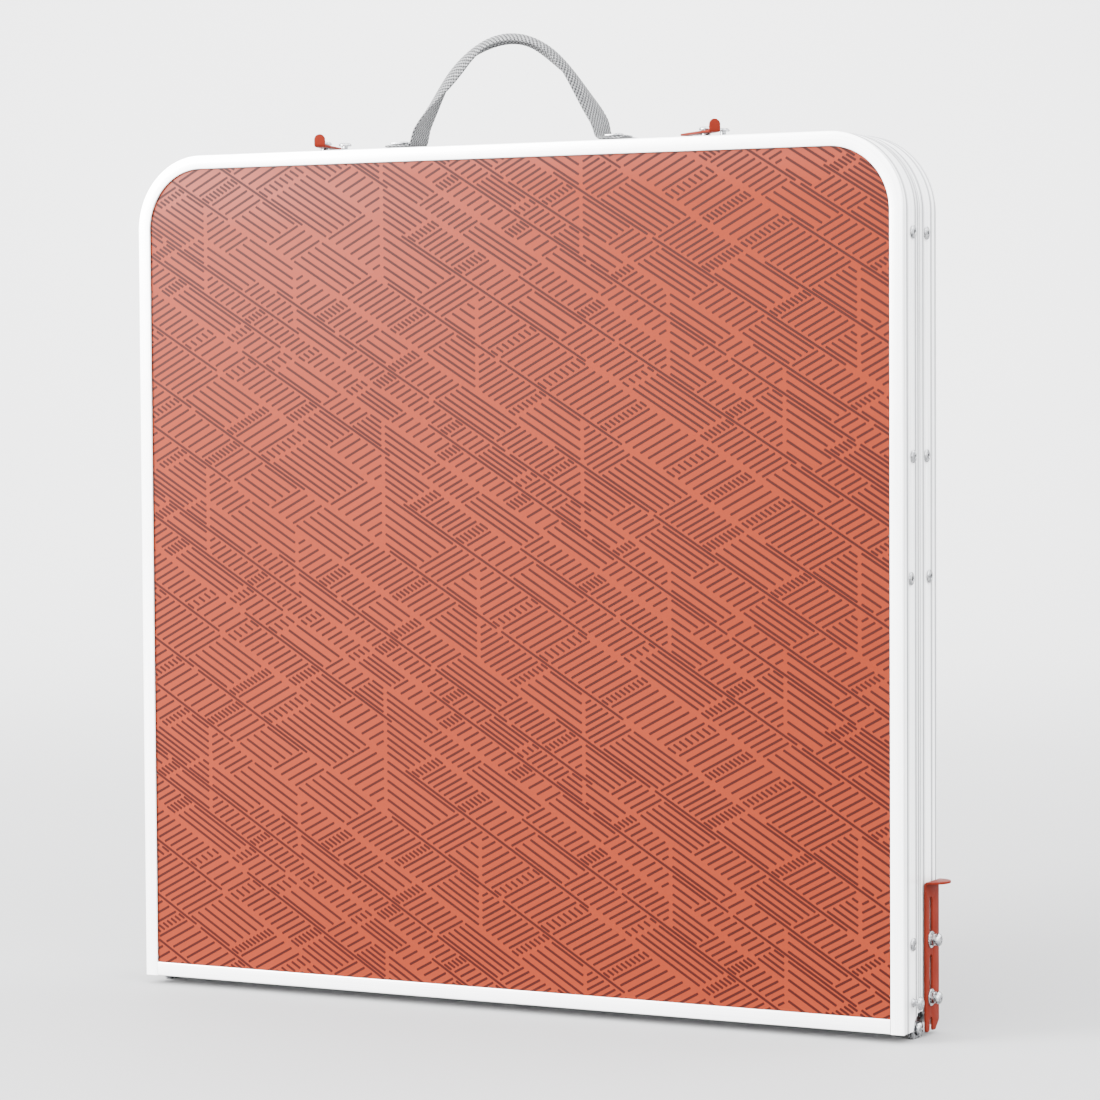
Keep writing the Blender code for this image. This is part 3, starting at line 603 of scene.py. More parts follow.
def cut_away(thing, *shapes):
    """Take (vertices, faces) shapes in millimetres out of a piece."""
    for shape in shapes:
        cutter = add_piece("cutter", shape, (), None)
        modifier = thing.modifiers.new("cut", "BOOLEAN")
        modifier.solver = "EXACT"
        modifier.object = cutter
        graph = bpy.context.evaluated_depsgraph_get()
        mesh = bpy.data.meshes.new_from_object(thing.evaluated_get(graph))
        thing.modifiers.clear()
        thing.data = mesh
        bpy.data.meshes.remove(cutter.data)


# ---- Rails ---------------------------------------------------------------------------------------

def rail_section():
    """The rail's section once round as (n, d), finely divided outside and beside the hinge notch."""
    ease = 0.3
    corners = [(0.0, 0.0, 1.2), (0.0, 2.0, ease), (GROOVE, 2.6, ease)]
    for centre in RIB_CENTRES:
        corners += [
            (GROOVE, centre - RIB_HALF - GROOVE, ease),
            (0.0, centre - RIB_HALF, ease),
            (0.0, centre + RIB_HALF, ease),
            (GROOVE, centre + RIB_HALF + GROOVE, ease),
        ]
    corners += [(GROOVE, RAIL_END - 3.2, ease), (0.0, RAIL_END - 2.6, ease), (0.0, RAIL_END, 1.1)]
    corners += [(SEAM_LIP, RAIL_END, 0.3), (SEAM_LIP, RAIL_END - 1.2, 0.3), (WALL, RAIL_END - 1.2, 0.5)]
    corners += [(WALL, SEAT_BOTTOM, 0.4), (SEAT_LIP, SEAT_BOTTOM, 0.3), (SEAT_LIP, SLOT_BOTTOM, 0.3)]
    corners += [(WALL, SLOT_BOTTOM, 0.3), (WALL, SLOT_TOP, 0.3), (LIP, SLOT_TOP, 0.3), (LIP, 0.0, 0.6)]
    outline = round_corners(corners)
    fine = []
    for here, after in zip(outline, outline[1:] + outline[:1]):
        fine.append(here)
        is_outer = max(here[0], after[0]) < WALL / 2
        is_near_hinge = max(here[1], after[1]) > TRAY_DEPTH - NOTCH_RADIUS - 1.0
        pieces = math.ceil(abs(after[1] - here[1]) / 0.7) if is_outer or is_near_hinge else 1
        for step in range(1, pieces):
            share = step / pieces
            fine.append(between_points(here, after, share))
    return fine


def notch_height(d):
    """How far above the rails' underside the round clearance about the hinge reaches at a depth d."""
    across = TRAY_DEPTH - d
    if across >= NOTCH_RADIUS:
        return 0.0
    return max(0.0, HINGE.z - RAIL_FOOT + math.sqrt(NOTCH_RADIUS ** 2 - across ** 2))


def swept_rail(half, stations, notched):
    """The section carried along (x, z, inward x, inward z) stations."""
    section = rail_section()
    count = len(section)
    around = [0.0]
    for here, after in zip(section, section[1:]):
        around.append(around[-1] + math.dist(here, after))
    # painted shade: a dark band on the outer face beside each groove step and at the seam edge, passed on in
    # the edge attribute
    steps = [2.3, RAIL_END - 2.9, RAIL_END]
    for centre in RIB_CENTRES:
        steps += [centre - RIB_HALF - GROOVE / 2, centre + RIB_HALF + GROOVE / 2]
    shade = []
    for n, d in section:
        nearest = min(abs(d - step) for step in steps)
        shade.append(math.exp(-(nearest / 0.7) ** 2) if n < WALL / 2 else 0.0)
    vertices = []
    run = []
    gone = 0.0
    for index, (x, z, inward_x, inward_z) in enumerate(stations):
        if index:
            gone += math.dist((x, z), stations[index - 1][:2])
        is_end = notched and index in (0, len(stations) - 1)
        for (n, d), v in zip(section, around):
            lift = notch_height(d) if is_end else 0.0
            vertices.append((x + n * inward_x, half * (TRAY_DEPTH - d), z + n * inward_z + lift))
            run.append((gone, v, 0.0))
    faces = []
    for ring in range(len(stations) - 1):
        faces += band(ring * count, (ring + 1) * count, count)
    last = (len(stations) - 1) * count
    for corners in filled([Vector(p) for p in section], [(i, (i + 1) % count) for i in range(count)]):
        faces.append(corners[::-1])
        faces.append([last + i for i in corners])
    return vertices, faces, {"run": run, "edge": shade * len(stations)}


def edge_rail(tag, half):
    """The bent rail down both sides and across the carrying edge."""
    corner_x = HALF_WIDTH - CORNER_RADIUS
    corner_z = RAIL_TOP - CORNER_RADIUS
    steps = 28
    stations = [(-HALF_WIDTH, RAIL_FOOT, 1.0, 0.0), (-HALF_WIDTH, RAIL_FOOT + 60.0, 1.0, 0.0)]
    for centre_x, start in ((-corner_x, 180.0), (corner_x, 90.0)):
        for step in range(steps + 1):
            angle = math.radians(start - 90.0 * step / steps)
            spoke = (math.cos(angle), math.sin(angle))
            x = centre_x + CORNER_RADIUS * spoke[0]
            stations.append((x, corner_z + CORNER_RADIUS * spoke[1], -spoke[0], -spoke[1]))
    stations += [(HALF_WIDTH, RAIL_FOOT + 60.0, -1.0, 0.0), (HALF_WIDTH, RAIL_FOOT, -1.0, 0.0)]
    shape = swept_rail(half, stations, notched=True)
    name = f"edge_rail_{tag}"
    add_piece(f"fine_{name}", shape, SATIN, f"half_{tag}", [name], sharp=50.0)


def hinge_rail(tag, half):
    """The straight rail along the hinge line, butted between the side rails."""
    name = f"hinge_rail_{tag}"
    low, high = corners_of(name)
    stations = [(low.x, RAIL_FOOT, 0.0, 1.0), (high.x, RAIL_FOOT, 0.0, 1.0)]
    shape = swept_rail(half, stations, notched=False)
    add_piece(f"fine_{name}", shape, SATIN, f"half_{tag}", [name], sharp=50.0)


# ---- Printed boards ------------------------------------------------------------------------------

FALLING = Vector((math.cos(math.radians(31.6)), -math.sin(math.radians(31.6))))
RISING = Vector((math.cos(math.radians(28.4)), math.sin(math.radians(28.4))))
REPEAT = 188.9
PRINT_REACH = 1150.0
PRINT_SEED = 41
LANE_WIDTHS = (16.0, 19.0, 22.0, 27.0, 33.0, 40.0)
UPRIGHTS = (-243.0, -168.0, -96.0, -20.0, 62.0, 128.0, 214.0, 268.0)
STROKE = 1.75
BLOCK_GAP = 1.4
INK_HIGH = 0.035
INK_DEEP = 0.06

# Each style of block: shortest, longest, the way its strokes run, their pitches, the gap at its sides
STYLES = {
    "stack": (26.0, 62.0, FALLING, (4.2, 4.8, 5.4, 6.0), 3.2),
    "rungs": (22.0, 56.0, RISING, (4.6, 5.2, 5.8), 2.6),
    "stubs": (8.5, 11.5, FALLING, (2.9, 3.3, 4.6), 2.6),
}
NEXT_STYLES = {
    "stack": ("rungs", "rungs", "stubs"),
    "rungs": ("stack", "stubs", "stubs"),
    "stubs": ("rungs", "rungs", "stack"),
}


def clipped(outline, point, normal):
    """The part of a convex outline on the side of a line that its normal points to."""
    kept = []
    for here, after in zip(outline, outline[1:] + outline[:1]):
        first = (here - point).dot(normal)
        second = (after - point).dot(normal)
        if first >= 0:
            kept.append(here)
        if (first >= 0) != (second >= 0):
            kept.append(here.lerp(after, first / (first - second)))
    return kept


def line_through(outline, point, direction):
    """Where a line enters and leaves a convex outline, or None."""
    low, high = -1e9, 1e9
    for here, after in zip(outline, outline[1:] + outline[:1]):
        side = after - here
        normal = Vector((-side.y, side.x))
        slope = direction.dot(normal)
        room = (here - point).dot(normal)
        if abs(slope) < 1e-9:
            if room > 0:
                return None
        elif slope > 0:
            low = max(low, room / slope)
        else:
            high = min(high, room / slope)
    return (low, high) if high > low else None


def hatch(outline, direction, pitch):
    """Strokes along a direction, evenly spaced over a convex block, as (middle, direction, length)."""
    across = Vector((-direction.y, direction.x))
    reaches = [corner.dot(across) for corner in outline]
    low, high = min(reaches), max(reaches)
    count = max(1, round((high - low) / pitch))
    strokes = []
    for row in range(count + 1):
        point = across * (low + (high - low) * row / count)
        if row == 0:
            point += across * 0.05
        if row == count:
            point -= across * 0.05
        span = line_through(outline, point, direction)
        if span and span[1] - span[0] > 2.4:
            strokes.append((point + direction * (span[0] + span[1]) / 2, direction, span[1] - span[0]))
    return strokes


def lane_blocks(rng, lane_low, lane_high, cuts):
    """Blocks of hatching along one lane between falling lines, cut upright at the given x."""
    strokes = []
    wide = lane_high - lane_low
    middle = (lane_low + lane_high) / 2
    past_rising = Vector((-RISING.y, RISING.x))
    position = -PRINT_REACH
    previous_cut = None
    style = rng.choice(("stack", "rungs"))
    for cut in [*cuts, None]:
        end = PRINT_REACH if cut is None else (cut - middle * RISING.x) / FALLING.x
        while position < end - 1.0:
            shortest, longest, direction, pitches, side_gap = STYLES[style]
            length = rng.uniform(shortest, longest)
            pitch = rng.choice(pitches)
            last = position + length > end - 14.0
            finish = end if last else position + length
            corners = [(s, lane_low + side_gap) for s in (position - wide, finish + wide)]
            corners += [(s, lane_high - side_gap) for s in (finish + wide, position - wide)]
            block = [FALLING * s + RISING * t for s, t in corners]
            if previous_cut is not None:
                block = clipped(block, Vector((previous_cut + BLOCK_GAP, 0.0)), Vector((1.0, 0.0)))
            else:
                block = clipped(block, FALLING * (position + BLOCK_GAP), -past_rising)
            if block and last and cut is not None:
                block = clipped(block, Vector((cut - BLOCK_GAP, 0.0)), Vector((-1.0, 0.0)))
            elif block:
                block = clipped(block, FALLING * (finish - BLOCK_GAP), past_rising)
            if len(block) > 2:
                strokes += hatch(block, direction, pitch)
            position = finish
            previous_cut = cut if last else None
            if last and cut is not None:
                style = "rungs" if style == "stack" else "stack"
            else:
                style = rng.choice(NEXT_STYLES[style])
            if last:
                break
    return strokes


def print_strokes():
    """Every stroke of one upright repeat: lanes between long falling lines, filled with hatching."""
    rng = random.Random(PRINT_SEED)
    tall = REPEAT * FALLING.x / (FALLING.x * RISING.y - FALLING.y * RISING.x)
    widths = []
    while sum(widths) < tall - 8.0:
        widths.append(rng.choice(LANE_WIDTHS))
    scale = tall / sum(widths)
    borders = [0.0]
    for width in widths:
        borders.append(borders[-1] + width * scale)
    spans = []
    for x in UPRIGHTS:
        first = rng.randrange(len(widths))
        count = rng.choice((2, 3, 3, 4))
        spans.append((x, {(first + k) % len(widths) for k in range(count)}))
    strokes = []
    for lane in range(len(widths)):
        cuts = [x for x, lanes in spans if lane in lanes]
        strokes += lane_blocks(rng, borders[lane], borders[lane + 1], cuts)
        position = -PRINT_REACH
        while position < PRINT_REACH:
            length = rng.uniform(60.0, 190.0)
            if rng.random() < 0.72:
                middle = FALLING * (position + length / 2) + RISING * borders[lane]
                strokes.append((middle, FALLING, length - 4.0))
            position += length
    return strokes


def stroke_outline(middle, direction, length):
    """A bar with eased corners."""
    across = Vector((-direction.y, direction.x))
    ease = 0.4
    half_long = length / 2
    half_wide = STROKE / 2
    corners = [(-half_long, -half_wide + ease), (-half_long + ease, -half_wide)]
    corners += [(half_long - ease, -half_wide), (half_long, -half_wide + ease)]
    corners += [(half_long, half_wide - ease), (half_long - ease, half_wide)]
    corners += [(-half_long + ease, half_wide), (-half_long, half_wide - ease)]
    return [middle + direction * u + across * v for u, v in corners]


def board_outline(inset):
    """The board's outline inside the rail's edge: square at the hinge, round at the carrying edge."""
    reach = HALF_WIDTH - inset
    radius = CORNER_RADIUS - inset
    top = RAIL_TOP - inset
    low = RAIL_FOOT + inset
    outline = [(-reach, low), (reach, low)]
    outline += arc((reach - radius, top - radius), radius, 0.0, 90.0, 20)
    outline += arc((radius - reach, top - radius), radius, 90.0, 180.0, 20)
    return outline


def print_layer(tag, half):
    """The raised ink of all strokes that show inside the rails' lips, as one piece of closed thin bars."""
    face = max(abs(limit.y) for limit in corners_of(f"board_{tag}"))
    window = [Vector(p) for p in board_outline(LIP - 1.0)]
    middle_z = (RAIL_FOOT + RAIL_TOP) / 2
    step = Vector((0.0, -REPEAT))
    vertices = []
    faces = []
    reach = HALF_WIDTH - LIP
    corner = reach - CORNER_RADIUS
    for middle, direction, length in print_strokes():
        for repeat in range(-7, 8):
            spot = middle + step * repeat
            extent = abs(direction.x) * length / 2
            rise = abs(direction.y) * length / 2
            if abs(spot.x) - extent > reach or abs(spot.y) - rise > reach:
                continue
            outline = [p + Vector((0.0, middle_z)) for p in stroke_outline(spot, direction, length)]
            far = max(max(abs(p.x), abs(p.y - middle_z)) for p in outline)
            both = max(min(abs(p.x), abs(p.y - middle_z)) for p in outline)
            if far > reach - 1.0 or both > corner:
                for here, after in zip(window, window[1:] + window[:1]):
                    side = after - here
                    if outline:
                        outline = clipped(outline, here, Vector((-side.y, side.x)).normalized())
            if len(outline) < 3:
                continue
            start = len(vertices)
            count = len(outline)
            for y in (face - INK_DEEP, face + INK_HIGH):
                vertices += [(-half * p.x, half * y, p.y) for p in outline]
            faces += band(start, start + count, count)
            faces += [list(range(start, start + count))[::-1], list(range(start + count, start + 2 * count))]
    add_piece(f"print_{tag}", (vertices, faces), INK, f"half_{tag}", sharp=30.0)


def board(tag, half):
    """The board itself: lacquered outside, bare fibre inside and round the edge."""
    name = f"board_{tag}"
    low, high = corners_of(name)
    thickness = high.y - low.y
    shape = plate(board_outline(3.5), [], thickness, 0.2)
    matrix = frame_at((0.0, high.y, 0.0), (1.0, 0.0, 0.0), (0.0, 0.0, 1.0))
    outer_level = thickness if half < 0 else 0.0
    slots = []
    for face in shape[1]:
        heights = [shape[0][i][2] for i in face]
        slots.append(0 if all(abs(h - outer_level) < 1e-4 for h in heights) else 1)
    shape[2]["slots"] = slots
    add_piece(f"panel_{tag}", shape, (BASE, FIBRE), f"half_{tag}", [name], matrix)


# ---- Fasteners -----------------------------------------------------------------------------------

def dome(radius, base, height, well=0.0, steps=9):
    """A rivet head's profile from its axis out to its rim, round a well if one is given."""
    profile = [(0.0, base + height)]
    start = 90.0
    if well:
        start = math.degrees(math.acos((well + 0.25) / radius))
        profile = [(0.0, base - 2.4), (well * 0.85, base - 2.4), (well, base + height * 0.75)]
    spokes = arc((0.0, 0.0), 1.0, start, 0.0, steps)
    for across, level in spokes if well else spokes[1:]:
        profile.append((radius * across, base + height * max(level, 0.0) ** 0.8))
    return profile


def pan(radius, base, height, steps=9):
    """A pan head's profile from the middle of its crown to the rim of its underside."""
    profile = [(0.0, base + height)]
    for across, level in arc((0.0, 0.0), 1.0, 90.0, 0.0, steps)[1:]:
        profile.append((radius * across ** 0.6, base + height * (0.25 + 0.75 * max(level, 0.0))))
    return profile + [(radius - 0.12, base + 0.05)]


def cross(reach, half_wide):
    """A plus-shaped outline."""
    outline = []
    for quarter in range(4):
        turn = Matrix.Rotation(math.pi / 2 * quarter, 2)
        for corner in ((reach, -half_wide), (reach, half_wide), (half_wide, half_wide)):
            outline.append(tuple(turn @ Vector(corner)))
    return outline


def hexagon(apothem, low, high, bore, steps=48):
    """A hexagon nut about Z with its corners chamfered at both ends."""
    rings = []
    for height, inward in ((high, -1), (low, 1)):
        inner = []
        crown = []
        side = []
        for step in range(steps):
            angle = math.tau * step / steps
            sector = (angle + math.pi / 6) % (math.pi / 3) - math.pi / 6
            radius = apothem / math.cos(sector)
            inner.append((angle, bore, height))
            crown.append((angle, apothem * 0.95, height))
            side.append((angle, radius, height + inward * (0.2 + (radius - apothem) * 0.6)))
        rings += [inner, crown, side] if inward < 0 else [side, crown, inner]
    vertices = [(r * math.cos(a), r * math.sin(a), h) for ring in rings for a, r, h in ring]
    faces = []
    for index in range(len(rings)):
        faces += band(index * steps, (index + 1) % len(rings) * steps, steps)
    return vertices, faces


def recess_cutter(crown, radius, depth=1.5):
    """The tapered cross that drives a pan-head screw."""
    return prism(cross(radius * 0.52, radius * 0.11), crown - depth, crown + 1.0, taper=0.6)


def fastener(node, body, side, shapes, recess=None):
    """A zinc-plated fastener about its own axis: sideways from x = 0, or upright from z = 0 if side is 0."""
    middle = middle_of(node)
    place = (0.0, middle.y, middle.z) if side else (middle.x, middle.y, 0.0)
    matrix = axis_frame(place, (side, 0, 0) if side else (0, 0, 1))
    thing = add_piece(f"fine_{node}", merged(*shapes), ZINC, body, [node], matrix)
    if recess:
        cut_away(thing, moved(recess, matrix))
        soften(thing, 35.0)


def hinge_bolt(side_name, side):
    """A cross-recessed pan-head bolt on the hinge line with its nut inside the ears."""
    node = f"hinge_bolt_{side_name}"
    near, far = reach_of(node)
    profile = pan(4.8, far - 2.6, 2.6)
    profile += [(2.4, far - 2.6), (2.4, near - 0.3), (2.0, near - 0.7), (0.0, near - 0.7)]
    shapes = [turned(profile), hexagon(3.75, near, near + 2.6, 2.5)]
    fastener(node, "half_a", side, shapes, recess_cutter(far, 4.8))


def catch_stud(side_name, side):
    """The mushroom-headed stud that the slide lock's notch closes on."""
    node = f"catch_stud_{side_name}"
    near, far = reach_of(node)
    face = HALF_WIDTH + 0.1
    profile = pan(4.6, far - 2.6, 2.6)
    profile += [(2.9, far - 3.1), (2.4, far - 3.6), (2.4, face + 0.9), (3.1, face), (2.0, face)]
    profile += [(2.0, near + 1.0), (3.2, near + 1.0), (3.2, near), (0.0, near)]
    fastener(node, "half_a", side, [turned(profile)])


def lock_bolt(side_name, side, row):
    """A shouldered bolt: nut inside the ear, washer and hexagon over the slotted plate, pan head outside."""
    node = f"lock_bolt_{row}_{side_name}"
    near, far = reach_of(node)
    head = far - 3.0
    washer = head - 4.45
    profile = pan(4.4, head, 3.0) + [(2.6, head - 0.1), (2.2, head - 0.5), (2.2, head - 3.8)]
    profile += [(5.5, head - 3.8), (5.75, head - 4.0), (5.75, washer), (2.2, washer)]
    profile += [(2.2, near), (0.0, near)]
    nuts = [hexagon(3.75, head - 4.0, head - 1.3, 2.3), hexagon(3.2, near, near + 2.4, 2.3)]
    fastener(node, "half_b", side, [turned(profile), *nuts], recess_cutter(far, 4.4))


def hollow_head(head):
    """A hollow rivet's dome, down to the underside of its rim."""
    return dome(4.4, head, 1.1, well=1.4) + [(4.25, head - 0.15)]


def pop_rivet(node, body, side):
    """A hollow rivet through a side rail with its clinched end inside."""
    near, far = reach_of(node)
    head = far - 1.1
    profile = dome(4.5, head, 1.1, well=1.5)
    profile += [(4.35, head - 0.2), (2.0, head - 0.15), (2.0, near + 1.2), (2.7, near + 1.1)]
    profile += [(2.9, near + 0.6), (2.6, near + 0.1), (1.2, near), (1.0, near + 0.7), (0.0, near + 0.7)]
    fastener(node, body, side, [turned(profile)])


def leg_pivot(tag, side_name, side):
    """A long rivet through the side rail and the leg, with a flange, a spacer and a clinched end."""
    node = f"leg_pivot_{tag}_{side_name}"
    leg_near, leg_far = reach_of(f"leg_tube_{tag}_{side_name}")
    near, far = reach_of(node)
    head = far - 1.1
    wall = HALF_WIDTH - WALL - 0.3
    ease = 0.35
    corners = [(2.5, head - 0.15), (2.5, wall), (5.0, wall, ease), (5.0, wall - 1.5, ease)]
    corners += [(3.0, wall - 1.5, 0.5), (3.0, leg_far + 6.6, 0.5), (5.5, leg_far + 6.6, ease)]
    corners += [(5.5, leg_far + 0.6, ease), (2.5, leg_far + 0.6), (2.5, leg_near - 0.3)]
    corners += [(4.6, leg_near - 0.3, ease), (4.4, near, ease), (0.0, near)]
    fastener(node, f"half_{tag}", side, [turned(hollow_head(head) + rounded_profile(corners))])


def brace_pivot(tag, side_name, side):
    """A rivet whose blind bush inside the rail carries the end of the wire brace."""
    node = f"brace_pivot_{tag}_{side_name}"
    near, far = reach_of(node)
    head = far - 1.1
    wall = HALF_WIDTH - WALL - 0.3
    corners = [(2.0, head - 0.15), (2.0, wall), (4.4, wall, 0.3), (4.4, near, 0.3), (2.8, near, 0.2)]
    corners += [(2.8, wall - 2.0), (0.0, wall - 2.0)]
    fastener(node, f"half_{tag}", side, [turned(hollow_head(head) + rounded_profile(corners))])


def latch_screw(node, body):
    """A cross-recessed screw standing on the carrying edge over its flanged bush."""
    low, high = corners_of(node)
    head = high.z - 2.4
    bush = [(2.0, 2.4), (3.2, 2.4, 0.3), (3.2, 1.1, 0.3), (4.0, 1.1, 0.2), (4.0, 0.1, 0.2), (2.0, 0.1)]
    bush = [(radius, RAIL_TOP + rise, *ease) for radius, rise, *ease in bush]
    profile = pan(4.6, head, 2.4) + [(2.0, head), (2.0, RAIL_TOP + 2.5)] + rounded_profile(bush)
    profile += [(2.0, low.z), (0.0, low.z)]
    shapes = [turned(profile), hexagon(3.2, low.z, low.z + 2.0, 2.1)]
    fastener(node, body, 0, shapes, recess_cutter(high.z, 4.6))


# ---- Hinge ears and side locks -------------------------------------------------------------------

def outward(shape, side, base, z=0.0):
    """A flat (u, v, w) shape stood against a side rail: u along y, v up, w outwards from a distance base."""
    return [Vector((side * (base + w), u, z + v)) for u, v, w in shape[0]], *shape[1:]


def ring_of(radius, u=0.0, v=0.0, steps=28):
    return arc((u, v), radius, 0.0, 360.0 - 360.0 / steps, steps - 1)


def slot_ring(u, low, high, half_wide):
    """An upright slot's outline."""
    return arc((u, low), half_wide, 180.0, 360.0, 10) + arc((u, high), half_wide, 0.0, 180.0, 10)


def scored(outline, start, length, steps=6):
    """The outline with points where a bend's steps cross it, and the index pairs that join across it."""
    stations = [start + length * step / steps for step in range(steps + 1)]
    marked = []
    for here, after in zip(outline, outline[1:] + outline[:1]):
        marked.append(here)
        low, high = sorted((here[1], after[1]))
        for v in sorted((v for v in stations if low + 1e-6 < v < high - 1e-6), reverse=after[1] < here[1]):
            marked.append((here[0] + (after[0] - here[0]) * (v - here[1]) / (after[1] - here[1]), v))
    folds = []
    for v in stations:
        pair = [index for index, point in enumerate(marked) if abs(point[1] - v) < 1e-6]
        if len(pair) == 2:
            folds.append(tuple(pair))
    return marked, folds


def bent(shape, start, radius, thickness):
    """A flat sheet bent square towards +w beyond v = start round an inside radius."""
    length = (radius + thickness / 2) * math.pi / 2
    vertices = []
    for u, v, w in shape[0]:
        if v > start:
            angle = min((v - start) / length, 1.0) * math.pi / 2
            spoke = radius + thickness - w
            straight = max(v - start - length, 0.0)
            v = start + spoke * math.sin(angle)
            w = thickness + radius - spoke * math.cos(angle) + straight
        vertices.append((u, v, w))
    return vertices, *shape[1:]


def hinge_ear(tag, half, side_name, side):
    """A steel strip up the inside of the side rail that ends in a round eye about the hinge line."""
    node = f"hinge_ear_{tag}_{side_name}"
    low, high = corners_of(node)
    near = reach_of(node)[0]
    top = high.z - HINGE.z
    eye_radius = 9.0
    join = math.degrees(math.asin(5.0 / eye_radius))
    flat = math.degrees(math.acos((HINGE.z - low.z) / eye_radius))
    eye = arc((0.0, 0.0), eye_radius, 90.0 + join, -90.0 + flat, 34)
    eye += arc((0.0, 0.0), eye_radius, -90.0 - flat, -168.0, 6)
    corners = [(u, v, 0.0) for u, v in eye] + [(-21.0, 14.0, 2.0), (-21.0, top, 4.0), (-5.0, top, 4.0)]
    outline = [(-half * u, v) for u, v in round_corners(corners)]
    lock_y = half * 13.5
    upper_hole = 58.8
    holes = [ring_of(2.7), ring_of(2.3, lock_y, 19.6)]
    if half > 0:
        holes.append(ring_of(2.3, lock_y, upper_hole))
    thickness = 2.0
    back = HALF_EAR[tag] - thickness / 2
    shape = outward(plate(outline, holes, thickness, 0.3), side, back, HINGE.z)
    if half < 0:
        head = HALF_WIDTH + 0.3
        profile = hollow_head(head)
        profile += [(1.9, head - 0.15), (1.9, back), (3.0, back), (2.8, near), (0.0, near)]
        spot = axis_frame((0.0, lock_y, HINGE.z + upper_hole), (side, 0, 0))
        shape = merged(shape, moved(turned(profile), spot))
    add_piece(f"fine_{node}", shape, ZINC, f"half_{tag}", [node])


def slide_lock(side_name, side):
    """The slotted plate with its open notch and the thumb tab bent square out of its top."""
    node = f"slide_lock_{side_name}"
    low, high = corners_of(node)
    near, far = reach_of(node)
    thickness = 1.5
    inside = 1.0
    slot_y = middle_of(f"lock_bolt_lower_{side_name}").y
    bolts = [middle_of(f"lock_bolt_{row}_{side_name}").z for row in ("lower", "upper")]
    bottom = low.z
    start = high.z + 3.2 - inside - thickness
    bend = (inside + thickness / 2) * math.pi / 2
    tip = start + bend + far - near - thickness - inside
    mouth = bottom + 6.9
    middle_y = (low.y + high.y) / 2
    half_wide = (high.y - low.y) / 2
    corners = [(u, v, 0.0) for u, v in arc((slot_y, mouth), 2.6, 180.0, 0.0, 12)]
    corners += [(slot_y + 2.6, bottom, 1.5), (high.y - 6.5, bottom, 2.0), (high.y, bottom + 6.0, 2.0)]
    root = start + bend + 0.2
    for across, along in arc((0.0, 0.0), 1.0, 0.0, 180.0, 28):
        corners.append((middle_y + half_wide * across, root + (tip - root) * along, 0.0))
    corners += [(low.y, bottom, 2.9), (slot_y - 2.6, bottom, 2.9)]
    outline, folds = scored(round_corners(corners), start, bend)
    slots = [slot_ring(slot_y, z, z + 26.4, 2.6) for z in bolts]
    shape = bent(plate(outline, slots, thickness, 0.32, folds), start, inside, thickness)
    shape = outward(shape, side, near)
    add_piece(f"fine_{node}", shape, RED, f"lock_{side_name}", [node])


# ---- Carrying edge -------------------------------------------------------------------------------

LATCH_TURN = {"left": 105.0, "right": 139.0}


def latch_lever(side_name):
    """A flat hook about its pivot with a thumb tab bent up at its tail."""
    node = f"latch_{side_name}"
    low, high = corners_of(node)
    pivot = middle_of(f"latch_pivot_{side_name}")
    thickness = 1.5
    inside = 0.8
    start = 15.5 - inside - thickness
    bend = (inside + thickness / 2) * math.pi / 2
    end = start + bend + high.z - low.z - inside - thickness
    corners = [(u, v, 0.0) for u, v in arc((0.0, end - 4.0), 4.0, 0.0, 180.0, 16)]
    corners += [
        (-4.0, 12.0, 2.0), (-5.0, 4.0, 3.0), (-5.0, -25.2, 1.0), (0.0, -25.2, 0.4), (1.6, -25.8, 1.2),
        (2.7, -28.0, 2.5), (1.6, -30.2, 1.2), (0.0, -30.8, 0.4), (-4.3, -30.8, 0.8), (-4.3, -33.5, 0.8),
        (3.2, -33.5, 2.2), (5.0, -31.6, 2.0), (5.0, 4.0, 3.0), (4.0, 12.0, 2.0),
    ]
    outline, folds = scored(round_corners(corners), start, bend)
    shape = bent(plate(outline, [ring_of(2.3)], thickness, 0.3, folds), start, inside, thickness)
    turn = math.radians(LATCH_TURN[side_name])
    across = (-math.sin(turn), math.cos(turn), 0.0)
    backward = (-math.cos(turn), -math.sin(turn), 0.0)
    place = frame_at((pivot.x, pivot.y, low.z), across, backward)
    add_piece(f"fine_{node}", shape, RED, f"latch_arm_{side_name}", [node], place)


def strap_clamp(side_name):
    """A small pressed plate over the strap's end with its domed rivet."""
    node = f"strap_clamp_{side_name}"
    low, high = corners_of(node)
    plate_low = RAIL_TOP + 2.6
    outline = round_corners([(-5.5, -12.0, 1.6), (5.5, -12.0, 1.6), (5.5, 12.0, 1.6), (-5.5, 12.0, 1.6)])
    sheet = moved(plate(outline, [], 1.2, 0.4), Matrix.Translation((0.0, 0.0, plate_low)))
    head = plate_low + 1.2
    profile = dome(3.6, head, high.z - head) + [(3.4, head - 0.1), (2.0, head - 0.1)]
    profile += [(2.0, low.z + 1.4), (3.3, low.z + 1.3), (3.3, low.z), (0.0, low.z)]
    fastener(node, "half_a", 0, [sheet, turned(profile)])


YARN = 3.2


